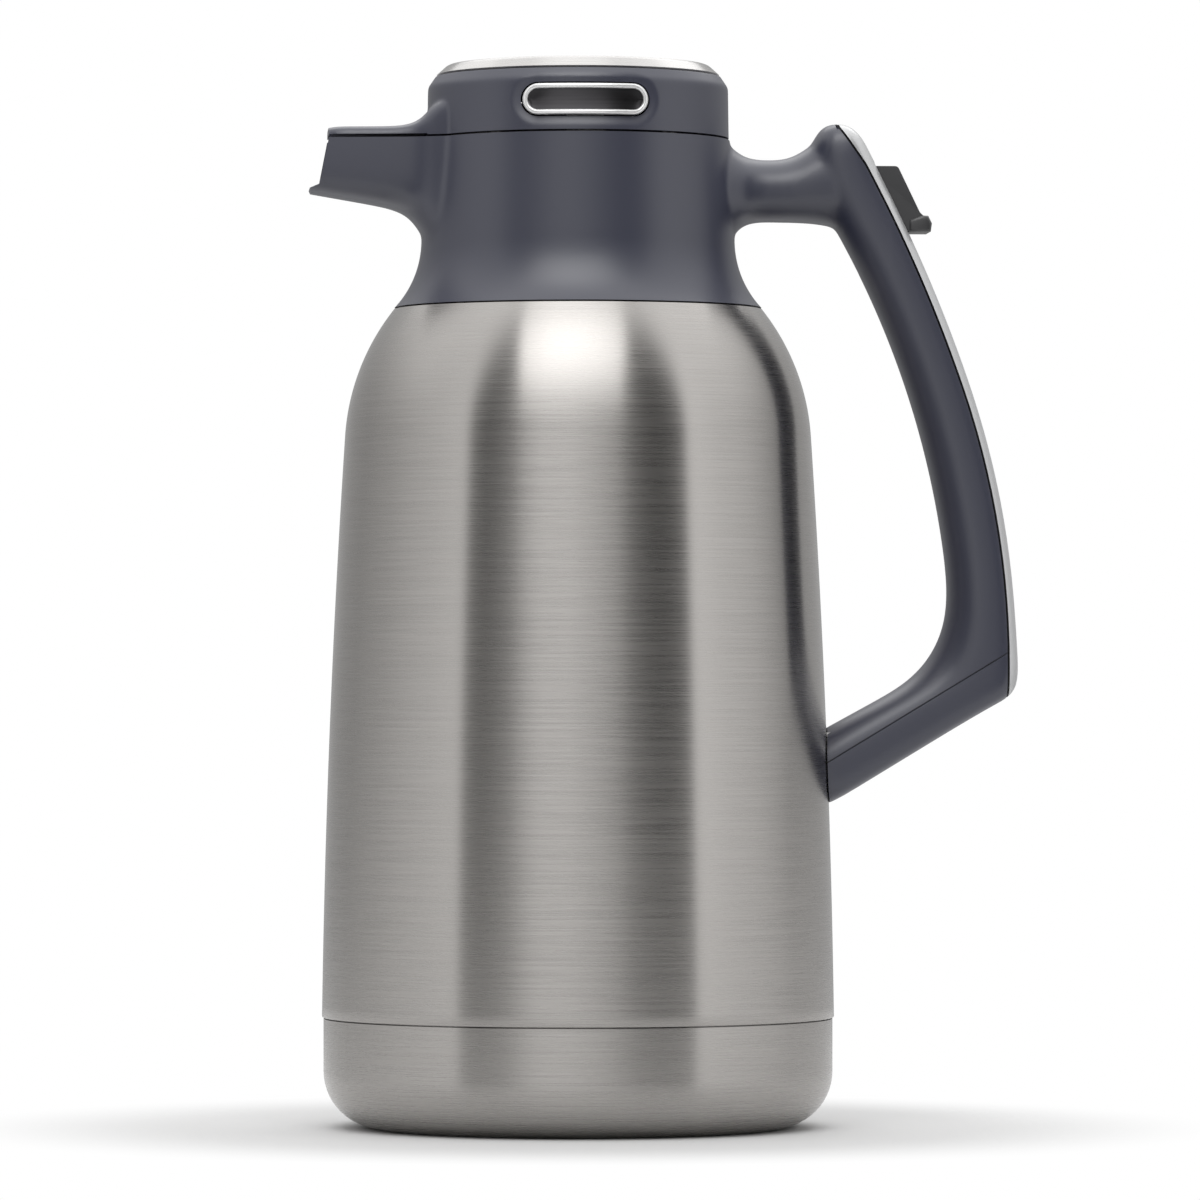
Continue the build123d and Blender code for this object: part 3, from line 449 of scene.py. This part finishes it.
def fused(name, pieces, voxel, rounds):
    bm = bmesh.new()
    for piece in pieces:
        bm.from_mesh(piece.data)
    bmesh.ops.scale(bm, vec=(1 / mm,) * 3, verts=bm.verts)
    discard(*pieces)
    whole = applied(meshObject(bm, name), ("REMESH", {"mode": "VOXEL", "voxel_size": voxel * mm}))
    smoothWhere(whole, lambda p: True, rounds)
    return whole


def smoothWhere(obj, test, rounds):
    bm = bmesh.new()
    bm.from_mesh(obj.data)
    verts = [vert for vert in bm.verts if test(vert.co / mm)]
    for i in range(rounds):
        bmesh.ops.smooth_vert(bm, verts=verts, factor=0.5, use_axis_x=True, use_axis_y=True, use_axis_z=True)
    bm.to_mesh(obj.data)
    bm.free()


grains = {"brushed": grainGroup("brushedGrain", 3), "moulded": grainGroup("mouldedGrain", 2)}
paleSteel = (0.55, 0.54, 0.53)


def buildMaterials():
    made = {
        "brushed_body": buildBrushed("bodySteel", {}),
        "insert_steel": buildBrushed("insertSteel", {"colour": (0.07, 0.068, 0.072), "roughness": 0.32}),
        "ring_chrome": buildPlastic("ringPlating", (0.86, 0.86, 0.86), 0.26, metallic=0.55),
        "grey_plastic": buildPlastic("greyPlastic", (0.028, 0.0305, 0.053), 0.38, 1.0),
        "silver_strip": buildPlastic("silverStrip", (0.55, 0.555, 0.56), 0.30, metallic=0.4),
        "black_plastic": buildPlastic("blackPlastic", (0.028, 0.028, 0.030), 0.38, 0.8),
        "dark_gasket": buildPlastic("darkGasket", (0.01, 0.01, 0.012), 0.6),
        "white_plastic": buildPlastic("whitePlastic", (0.60, 0.60, 0.585), 0.45),
        "silicone": buildPlastic("silicone", (0.6, 0.6, 0.58), 0.5),
    }
    for key in ("inner_steel", "hidden_steel", "screw_steel", "stem_steel", "lid_steel"):
        made[key] = buildBrushed(key.replace("_", ""), {"colour": paleSteel})
    return made


def finishCadNodes():
    slotOf = {part["node"]: part["material_slot"] for part in frame["record"]["subparts"]}
    for name, obj in nodes.items():
        obj.data.materials.clear()
        obj.data.materials.append(materials[slotOf[name]])


# Steel body, radii and heights in mm
shell = {
    "seam": (67.8, 29.2), "mid": (65.7, 107.0), "sideTop": (61.7, 183.0), "cone": (49.5, 215.6),
    "coneSlope": 37, "neckRadius": 35.2, "neckBend": 5.0, "rim": 240.4, "sheet": 0.6, "seamRound": 0.35,
    "seat": 1.3, "shadowGap": 0.45,     # step down under the collar's foot
    "segments": 256, "sideSteps": 48, "shoulderSteps": 32,
}
cup = {
    "radius": 67.4, "top": 28.9, "corner": 15.0, "recessRadius": 40.0, "recessDepth": 3.0, "footRound": 1.5,
    "hole": 2.0, "lip": (0.25, 0.12), "inset": 0.8, "tuck": 6.0,
}


def wallArcs(grow=0.0):
    seam, mid, top, cone = [Vector(shell[key]) for key in ("seam", "mid", "sideTop", "cone")]
    out = Vector((grow, 0))
    side = arcThrough(seam + out, mid + out, top + out, shell["sideSteps"])
    slant = math.radians(shell["coneSlope"])
    end = cone + Vector((math.cos(slant), math.sin(slant))) * grow
    shoulder = tangentArc(side[-1], lineEnd(side), end, shell["shoulderSteps"])
    return side + shoulder[1:]


def wallLine():
    line = wallArcs()
    run = lineEnd(line)
    edge = line[-1] + run * ((collar["foot"] - shell["shadowGap"] - line[-1].y) / run.y)
    seat = edge - Vector((run.y, -run.x)) * shell["seat"]
    bend = seat + run * ((shell["neckRadius"] - seat.x) / run.x)
    neck = roundedLine([seat, bend, Vector((shell["neckRadius"], shell["rim"]))], [shell["neckBend"]], 10)
    return line + [edge] + neck


def makeShell():
    line = wallLine()
    foot, r = Vector(shell["seam"]), shell["seamRound"]
    turned = [foot + Vector(step) * r for step in ((-1, 0), (-0.3, 0.3), (0, 1))]
    bm = spinLine(turned + line[1:], shell["segments"])
    bmesh.ops.solidify(bm, geom=bm.faces, thickness=shell["sheet"])
    bmesh.ops.recalc_face_normals(bm, faces=bm.faces)
    dress(meshObject(bm, "bodyShell"), "brushed_body", "body", "outer_shell")


def makeCup():
    radius, top, depth = cup["radius"], cup["top"], cup["recessDepth"]
    recess = cup["recessRadius"]
    corners = [(cup["hole"], depth), (recess, depth), (recess + depth, 0), (radius, 0), (radius, top)]
    foot = roundedLine(corners, [cup["footRound"], cup["footRound"], cup["corner"]], 14)
    lip, lipRise = cup["lip"]
    inner = radius - cup["inset"]
    rim = [Vector((radius - lip, top + lipRise)), Vector((inner, top)), Vector((inner, top + cup["tuck"]))]
    bm = spinLine(foot + rim, shell["segments"])
    bmesh.ops.solidify(bm, geom=bm.faces, thickness=shell["sheet"])
    bmesh.ops.recalc_face_normals(bm, faces=bm.faces)
    dress(meshObject(bm, "baseCup"), "brushed_body", "body", "base_cup")


# Collar, spout and handle: one moulding, drawn in the side view
collar = {
    "footRadius": 48.6, "foot": 217.0, "waist": (41.5, 235.0), "top": (40.1, 261.25), "mouth": 36.2,
    "deck": 244.0, "deckThickness": 2.6, "bore": 38.9, "throat": 33.2, "seatGap": 0.3,
    "skirt": 3, "spare": 5,         # the form runs on past the faces that are cut later
    "voxel": 0.62, "smoothRounds": 6,
}
# Ends of the cutting tools, clear of what they cut
past = {
    "inside": (56, 200, 280),       # radius, low, high
    "bodyTop": 180, "left": -95, "right": 60, "lidEnd": 52, "top": 290, "half": 60,
}
# Where the roots are smoothed further: x from and to, z from and to, rounds
smoothZones = {
    "crown": (55, 82, 226, 270, 14), "armRoot": (36, 50, 228, 300, 10), "spoutRoot": (-52, -30, 226, 262, 14),
}
spoutShape = {
    # x, underside z, half width
    "stations": [(-30, 226, 21.0), (-36, 229, 19.5), (-39.6, 233.0, 17.7), (-41.6, 236.6, 16.4),
                 (-44.2, 240.4, 15.5), (-47.6, 242.5, 14.9), (-53, 243.8, 14.1), (-60, 245.0, 13.1),
                 (-71, 246.9, 11.7), (-78, 248.1, 11.0)],
    "ceiling": 268.0, "underPower": 3.2, "topPower": 8.0,
    "lip": [(-66.2, 263.0), (-66.2, 261.4), (-68.6, 249.2), (-71.2, 248.2), (-70.8, 246.9), (-70.2, 244.0)],
    "lipHalf": 30,
    "channelRoot": (-33.2, 245.4, 13.3), "channelTip": (-74.0, 248.6, 8.8),
    "channelSlope": (3.6, 3.4),     # its floor's edges slope up this much, this far in from the walls
}
armShape = {
    # x, underside z, top z, half width
    "stations": [(33, 231, 262.5, 15.0), (38.4, 233.2, 261.3, 14.4), (40.6, 235.2, 260.0, 13.2),
                 (42.6, 237.8, 258.2, 12.0), (45, 239.3, 256.9, 11.1), (48.5, 239.75, 256.45, 10.6),
                 (53, 239.7, 256.4, 10.5), (57, 239.6, 257.2, 10.7), (61, 239.4, 259.8, 11.1),
                 (65, 239.0, 262.8, 11.4), (69, 238.0, 262.0, 11.2), (73, 238.0, 256.0, 10.0)],
    "power": 2.15,
}
handleShape = {
    "halfWidth": 12.0, "palmPower": 2.3, "backPower": 4.0,
    "crotch": (67.5, 239.7), "palmMid": (88.6, 191.5), "palmLow": (98.3, 143.0),
    "backTop": (78.0, 256.2), "backMid": (102.0, 202.2), "backLow": (116.4, 122.0), "peak": (67.7, 271.0),
    "backShort": (12.0, 17.0),      # the grip's rings end this far from the back line's ends
    # palm side point, back side point, half width, above the grip and round the elbow
    "crown": [((65.2, 265.9), (70.6, 266.3), 8.4), ((62.9, 262.4), (74.8, 263.0), 11.3),
              ((60.8, 258.6), (76.9, 258.9), 12.0), ((60.5, 251.5), (81.0, 250.9), 12.0)],
    "elbow": [((97.6, 133.0), (116.6, 126.0), 12.0), ((93.6, 124.2), (117.2, 115.2), 12.0),
              ((87.2, 117.6), (111.2, 112.2), 12.0), ((79.5, 113.2), (101.0, 106.3), 12.0),
              ((71.0, 108.6), (88.0, 98.4), 12.0), ((63.0, 104.2), (74.0, 89.9), 12.0),
              ((54.0, 99.3), (60.0, 81.4), 12.0)],
    "gripSteps": 9, "seam": (113.6, 125.9), "seamSlope": 31.2, "seamGap": 0.02,
    "groove": 0.4, "grooveDepth": 1.2, "stripDepth": 2.6, "gasketDepth": 0.6,
    "pocket": [(70.6, 255.6), (96.0, 255.6), (98.0, 236.5), (84.9, 236.5), (84.9, 231.6), (79.0, 231.6),
               (70.6, 245.5)],
    "pocketHalf": 7.8,
    # ends of the tools that part it: the band's along the back, the seam's across the lower arm
    "band": {"rise": 8, "low": 100, "out": 140, "top": 290}, "seamEnds": (40.0, 130.0), "seamDeep": 60,
    "toolHalf": 20,
}


def backLine(steps=14):
    low, mid, top = [Vector(handleShape[key]) for key in ("backLow", "backMid", "backTop")]
    lower = tangentArc(low, (0, 1), mid, steps)
    upper = tangentArc(lower[-1], lineEnd(lower), top, steps)
    return lower + upper[1:]


def collarForm():
    waist, foot = Vector(collar["waist"]), Vector((collar["footRadius"], collar["foot"]))
    flare = tangentArc(waist, (0, -1), foot, 18)
    skirt = foot + lineEnd(flare) * collar["skirt"]
    top = Vector(collar["top"])
    over = top + Vector((0, collar["spare"]))
    line = [Vector((0, skirt.y)), skirt] + flare[::-1] + [top, over, Vector((0, over.y))]
    return meshObject(spinLine(line, 128), "collarForm")


def spoutForm():
    spec = spoutShape
    stations = [((x, under), (x, spec["ceiling"]), half, spec["underPower"], spec["topPower"])
                for x, under, half in spec["stations"]]
    return tubeThrough("spoutForm", stations)


def armForm():
    stations = [((x, under), (x, top), half, armShape["power"], armShape["power"])
                for x, under, top, half in armShape["stations"]]
    return tubeThrough("armForm", stations, 20)


def gripForm():
    spec = handleShape
    steps = spec["gripSteps"]
    palm = arcThrough(spec["crotch"], spec["palmMid"], spec["palmLow"], steps)
    back = backLine()[::-1]
    length = [0]
    for a, b in zip(back, back[1:]):
        length.append(length[-1] + (b - a).length)

    def alongBack(distance):
        for i, (a, b) in enumerate(zip(back, back[1:])):
            if distance <= length[i + 1]:
                return a.lerp(b, (distance - length[i]) / (length[i + 1] - length[i]))
        return back[-1]

    startBack, short = spec["backShort"]
    used = length[-1] - short - startBack
    rings = [(p, alongBack(startBack + used * i / steps), spec["halfWidth"]) for i, p in enumerate(palm)]
    stations = [(a, b, half, spec["palmPower"], spec["backPower"])
                for a, b, half in spec["crown"] + rings + spec["elbow"]]
    return tubeThrough("gripForm", stations)


def bandPrism(name, depth):
    ends = handleShape["band"]
    foot = Vector((handleShape["backLow"][0], ends["low"]))
    line = [Vector(handleShape["peak"])] + backLine()[::-1] + [foot]
    inner = []
    for i, p in enumerate(line):
        before, after = line[max(i - 1, 0)], line[min(i + 1, len(line) - 1)]
        run = (after - before).normalized()
        inner.append(p + Vector((run.y, -run.x)) * depth)
    top = inner[0] + (inner[0] - inner[1]).normalized() * ends["rise"]
    outline = [(p.x, p.y) for p in [top] + inner]
    outline += [(ends["out"], ends["low"]), (ends["out"], ends["top"]), (top.x, ends["top"])]
    return prism(name, outline, handleShape["toolHalf"])


def seamBand(name, above, below, half=handleShape["toolHalf"]):
    seam, slope = Vector(handleShape["seam"]), math.tan(math.radians(handleShape["seamSlope"]))
    ends = [(x, seam.y + (x - seam.x) * slope) for x in handleShape["seamEnds"]]
    return prism(name, [(x, z + above) for x, z in ends] + [(x, z - below) for x, z in ends[::-1]], half)


def seamGroove():
    half, width = handleShape["halfWidth"] - handleShape["grooveDepth"], handleShape["groove"] / 2
    core = seamBand("grooveCore", 10 * width, 10 * width, half)
    groove = cutWith(seamBand("groove", width, width), "DIFFERENCE", core)
    discard(core)
    return groove


def insideCutter():
    line = wallArcs()
    run, foot = lineEnd(line), collar["foot"]
    end = line[-1] - Vector((run.y, -run.x)) * (shell["seat"] - collar["seatGap"])
    start = end + run * ((foot - end.y) / run.y)
    inner = end + run * ((collar["bore"] - end.x) / run.x)
    deck, throat, mouth = collar["deck"], collar["throat"], collar["mouth"]
    under = deck - collar["deckThickness"]
    wide, low, high = past["inside"]
    profile = [(0, low), (wide, low), (wide, foot), start, inner, (collar["bore"], under), (throat, under),
               (throat, deck), (mouth, deck), (mouth, high), (0, high)]
    return meshObject(spinLine([Vector(p) for p in profile]), "insideCutter")


def bodyCutter():
    line = [p for p in wallArcs(collar["seatGap"]) if p.y < past["bodyTop"]]
    profile = [Vector((0, line[0].y))] + line + [Vector((0, line[-1].y))]
    return meshObject(spinLine(profile), "bodyCutter")


def channelCutter():
    lift, inset = spoutShape["channelSlope"]
    high = past["inside"][2]
    bm = bmesh.new()
    for x, floor, half in (spoutShape["channelRoot"], spoutShape["channelTip"]):
        for y, z in ((half - inset, floor), (half, floor + lift), (half, high)):
            bm.verts.new((x, y, z))
            bm.verts.new((x, -y, z))
    bmesh.ops.convex_hull(bm, input=bm.verts)
    bmesh.ops.recalc_face_normals(bm, faces=bm.faces)
    return meshObject(bm, "channelCutter")


def makeCollarAndHandle():
    forms = [collarForm(), spoutForm(), armForm(), gripForm()]
    form = fused("moulding", forms, collar["voxel"], collar["smoothRounds"])
    for left, right, low, high, rounds in smoothZones.values():
        smoothWhere(form, lambda p: left < p.x < right and low < p.z < high, rounds)
    print("moulding", len(form.data.polygons))
    band = bandPrism("band", handleShape["stripDepth"] + handleShape["gasketDepth"])
    strip = bandPrism("stripBand", handleShape["stripDepth"])
    pocket = prism("pocket", handleShape["pocket"], handleShape["pocketHalf"])
    seamTool = seamBand("seamTool", 0, handleShape["seamDeep"])
    coverTool = seamBand("coverTool", -handleShape["seamGap"], handleShape["seamDeep"])
    groove = seamGroove()
    lip, left = spoutShape["lip"], past["left"]
    front = prism("front", lip + [(left, lip[-1][1]), (left, lip[0][1])], spoutShape["lipHalf"])
    lidPlane = block("lidPlane", (left, past["lidEnd"]), (collar["top"][1], past["top"]), past["half"])
    body, inside, channel = bodyCutter(), insideCutter(), channelCutter()

    stripPiece = cutWith(copyOf(form, "handleStrip"), "INTERSECT", strip)
    cutWith(stripPiece, "DIFFERENCE", pocket)
    dress(stripPiece, "silver_strip", "body", "handle_strip")
    cover = cutWith(copyOf(form, "lowerArmCover"), "INTERSECT", coverTool)
    cutWith(cover, "DIFFERENCE", body, band, groove)
    dress(cover, "grey_plastic", "body", "lower_arm_cover")
    cutWith(form, "DIFFERENCE", inside, channel, front, lidPlane, band, pocket, seamTool, body, groove)
    form.name = "collarAndHandle"
    dress(form, "grey_plastic", "body", "collar_spout", "handle_grip")
    discard(band, strip, pocket, seamTool, coverTool, groove, body, front, lidPlane, inside, channel)


# Lid
lid = {
    "foot": (40.0, 261.8), "side": (39.75, 275.2), "edge": (37.4, 278.6), "top": 281.3, "sheet": 0.6,
    "flat": 34.4, "bend": 3.0, "wall": 2.4, "ceiling": 276.4, "sideRound": 1.6, "edgeRound": 0.5,
    "voxel": 0.5, "smoothRounds": 5, "skirt": 4, "spare": 1, "topInner": 30,
    "plateBottom": 262.1, "plateRoot": -40.5, "plateDeep": 256, "front": -66.2,
    "underPower": 8, "topPower": 5.0,
    # x, top z, half width of the cover over the spout
    "plateStations": [(-28, 274, 21.5), (-34, 273.2, 20.0), (-38.6, 270.6, 18.0), (-40.6, 267.8, 16.9),
                      (-43.2, 265.6, 15.9), (-47, 264.6, 15.2), (-52, 264.5, 14.3), (-60, 264.5, 13.1),
                      (-70, 264.5, 12.0)],
    # ends of the cutting tools
    "floorCut": 240, "frontCut": (250, 285, 40), "cavityLow": 250, "toolSegments": 96,
}
button = {
    "height": 269.7, "length": 32.8, "width": 8.1, "band": 1.3, "gap": 0.45,
    "ringFace": 40.7, "ringBack": 38.5,
    "insertFace": 40.0, "insertLap": 0.3, "insertDish": 0.35, "insertSheet": 1.2,
    "insertShare": 0.998,           # its ends stop short, so that they keep a height
    "recessWidth": 3.2, "recessDepth": 0.75, "well": (30.0, 44.0),
}


def makeDisc():
    line = roundedLine([(0, lid["top"]), (lid["flat"], lid["top"]), lid["edge"]], [lid["bend"]], 10)
    bm = spinLine(line, 192)
    bmesh.ops.solidify(bm, geom=bm.faces, thickness=lid["sheet"])
    bmesh.ops.recalc_face_normals(bm, faces=bm.faces)
    dress(meshObject(bm, "lidDisc"), "lid_steel", "lid", "lid_disc")


def pillPath(length, width, ends=16, sides=28):
    radius = width / 2
    reach = length / 2 - radius
    path = []
    for middle, start in ((reach, -math.pi / 2), (-reach, math.pi / 2)):
        for i in range(ends + 1):
            out = Vector((math.cos(start + math.pi * i / ends), math.sin(start + math.pi * i / ends)))
            path.append((Vector((middle, button["height"])) + out * radius, out))
        last = path[-1]
        path += [(last[0] - Vector((2 * middle * i / sides, 0)), last[1]) for i in range(1, sides)]
    return path


def onLid(p, radius, side):
    return p.x, side * math.sqrt(radius ** 2 - p.x ** 2), p.y


def pillRing(name, side, profile, length, width):
    bm = bmesh.new()
    closed = len(profile) > 2
    rows = [[bm.verts.new(onLid(p + out * grow, radius, side)) for grow, radius in profile]
            for p, out in pillPath(length, width)]
    count = len(profile)
    for row, after in zip(rows, rows[1:] + rows[:1]):
        for j in range(count if closed else count - 1):
            k = (j + 1) % count
            bm.faces.new((row[j], row[k], after[k], after[j]))
    if not closed:
        bm.faces.new([row[0] for row in rows])
        bm.faces.new([row[-1] for row in rows])
    bmesh.ops.recalc_face_normals(bm, faces=bm.faces)
    return meshObject(bm, name)


def pillPlate(name, side, length, width, columns=56, rows=8):
    radius = width / 2
    reach = length / 2 - radius
    bm = bmesh.new()
    grid = []
    for i in range(columns + 1):
        x = length * (i / columns - 0.5) * button["insertShare"]
        half = math.sqrt(radius ** 2 - max(abs(x) - reach, 0) ** 2)
        column = []
        for j in range(rows + 1):
            t = 2 * j / rows - 1
            face = button["insertFace"] - button["insertDish"] * (1 - t * t)
            column.append(bm.verts.new(onLid(Vector((x, button["height"] + half * t)), face, side)))
        grid.append(column)
    for column, after in zip(grid, grid[1:]):
        for j in range(rows):
            bm.faces.new((column[j], column[j + 1], after[j + 1], after[j]))
    bmesh.ops.recalc_face_normals(bm, faces=bm.faces)
    if (bm.faces[:][0].normal.y > 0) != (side > 0):
        bmesh.ops.reverse_faces(bm, faces=bm.faces)
    bmesh.ops.solidify(bm, geom=bm.faces, thickness=button["insertSheet"])
    bmesh.ops.recalc_face_normals(bm, faces=bm.faces)
    return meshObject(bm, name)


def makeButton(word, side):
    length, width, band = button["length"], button["width"], button["band"]
    base = button["ringFace"] - band / 2
    profile = [tuple(p) for p in arcPoints((0, base), band / 2, 0, math.pi, 8)]
    profile += [(-band / 2, button["ringBack"]), (band / 2, button["ringBack"])]
    ring = pillRing("buttonRing" + word, side, profile, length - band, width - band)
    dress(ring, "ring_chrome", "release_" + word.lower(), "button_ring_" + word.lower(), angle=60)
    lap = 2 * (band - button["insertLap"])
    insert = pillPlate("buttonInsert" + word, side, length - lap, width - lap)
    dress(insert, "insert_steel", "release_" + word.lower(), "button_insert_" + word.lower(), angle=60)


def sinkRecess(form):
    radius = button["width"] / 2
    reach = button["length"] / 2 - radius
    for vert in form.data.vertices:
        p = vert.co / mm
        if abs(p.y) < lid["flat"] / 2:
            continue
        away = math.hypot(max(abs(p.x) - reach, 0), p.z - button["height"]) - radius
        t = min(max(1 - away / button["recessWidth"], 0), 1)
        shrink = 1 - button["recessDepth"] * t * t * (3 - 2 * t) / math.hypot(p.x, p.y)
        vert.co.x *= shrink
        vert.co.y *= shrink


def turnedTool(name, points):
    return meshObject(spinLine([Vector(p) for p in points], lid["toolSegments"]), name)


def makeLidShell():
    foot, side, edge = Vector(lid["foot"]), Vector(lid["side"]), Vector(lid["edge"])
    low = foot - Vector((0, lid["skirt"]))
    over = edge.y + lid["spare"]
    corners = [low, side, edge, Vector((lid["topInner"], over))]
    rounded = roundedLine(corners, [lid["sideRound"], lid["edgeRound"]], 8)
    line = [Vector((0, low.y))] + rounded + [Vector((0, over))]
    stations = [((x, lid["plateDeep"]), (x, top), half, lid["underPower"], lid["topPower"])
                for x, top, half in lid["plateStations"]]
    forms = [meshObject(spinLine(line, 160), "lidBody"), tubeThrough("lidPlate", stations)]
    form = fused("lidForm", forms, lid["voxel"], lid["smoothRounds"])
    sinkRecess(form)
    base, plateBase, root = foot.y, lid["plateBottom"], lid["plateRoot"]
    left, right, deep = past["left"], past["right"], lid["floorCut"]
    steps = [(left, deep), (right, deep), (right, base), (root, base), (root, plateBase), (left, plateBase)]
    floorCut = prism("floorCut", steps, past["half"])
    frontLow, frontHigh, frontHalf = lid["frontCut"]
    frontCut = block("frontCut", (left, lid["front"]), (frontLow, frontHigh), frontHalf)
    shelf = edge.y - lid["sheet"]
    topCut = turnedTool("topCut", [(0, shelf), (lid["flat"] - 1, shelf), (edge.x, shelf), (right, shelf),
                                   (right, past["top"]), (0, past["top"])])
    wall, cavityLow, ceiling = side.x - lid["wall"], lid["cavityLow"], lid["ceiling"]
    cavity = turnedTool("cavity", [(0, cavityLow), (wall, cavityLow), (wall, ceiling), (0, ceiling)])
    profile = [(button["gap"], radius) for radius in button["well"]]
    wells = [pillRing("well", way, profile, button["length"], button["width"]) for way in (-1, 1)]
    cutWith(form, "DIFFERENCE", floorCut, frontCut, topCut, cavity, *wells)
    form.name = "lidShell"
    dress(form, "grey_plastic", "lid", "lid_shell")
    discard(floorCut, frontCut, topCut, cavity, *wells)


# Thumb lever, from the top of its nose round the thumb face to the hub on its pin
lever = {
    "half": 7.2, "pin": (81.8, 234.6), "hub": 2.6, "bore": 1.25, "boreHalf": 10,
    "lipHalf": 7.7, "lipEdge": 0.9,
    "edge": 0.7, "edgeFrom": (78, 237.2),       # its rim is rounded beyond this x and above this z
    "outline": [(74.0, 249.0), (74.0, 252.6), (76.4, 254.5), (84.4, 254.5), (90.3, 242.2), (93.3, 239.6),
                (93.1, 237.3), (84.4, 237.3), (84.4, 234.6)],
    "rounds": [0.5, 0.5, 1.2, 2.5, 0.5, 0.5, 0.3],
    "lip": [(87.4, 237.2), (87.4, 240.4), (90.6, 241.5), (92.5, 241.4), (93.5, 239.4), (93.2, 237.2)],
}


def bevelRim(obj, half, test, width):
    bm = bmesh.new()
    bm.from_mesh(obj.data)

    def onRim(edge):
        a, b = edge.verts
        return (all(abs(abs(v.co.y) - half * mm) < 1e-6 and test(v.co / mm) for v in edge.verts)
                and a.co.y * b.co.y > 0 and edge.calc_face_angle(0) > 1)

    rim = [edge for edge in bm.edges if onRim(edge)]
    bmesh.ops.bevel(bm, geom=rim, offset=width * mm, segments=3, profile=0.5, affect="EDGES", material=-1,
                    clamp_overlap=True)
    bm.to_mesh(obj.data)
    bm.free()


def makeLever():
    pin = lever["pin"]
    outline = roundedLine(lever["outline"], lever["rounds"], 5)
    hub = arcPoints(pin, lever["hub"], 0, -math.pi, 14)
    blade = prism("thumbLever", [(p.x, p.y) for p in outline[:-1] + hub], lever["half"])
    fromX, fromZ = lever["edgeFrom"]
    bevelRim(blade, lever["half"], lambda p: p.x > fromX and p.z > fromZ, lever["edge"])
    lip = prism("leverLip", lever["lip"], lever["lipHalf"])
    bevelRim(lip, lever["lipHalf"], lambda p: True, lever["lipEdge"])
    circle = arcPoints(pin, lever["bore"], 0, 2 * math.pi, 24)[:-1]
    bore = prism("leverBore", [(p.x, p.y) for p in circle], lever["boreHalf"])
    cutWith(blade, "UNION", lip)
    cutWith(blade, "DIFFERENCE", bore)
    discard(lip, bore)
    dress(blade, "black_plastic", "thumb_lever", "thumb_lever", angle=40)


materials = buildMaterials()
finishCadNodes()
print("materials ready")
makeShell()
makeCup()
makeDisc()
makeCollarAndHandle()
makeLidShell()
makeButton("Near", -1)
makeButton("Far", 1)
makeLever()
print("pieces ready")

addCamera()
buildWorld()
addLights()
addFloor()
print("stage ready")

scene.view_settings.view_transform = "Standard"
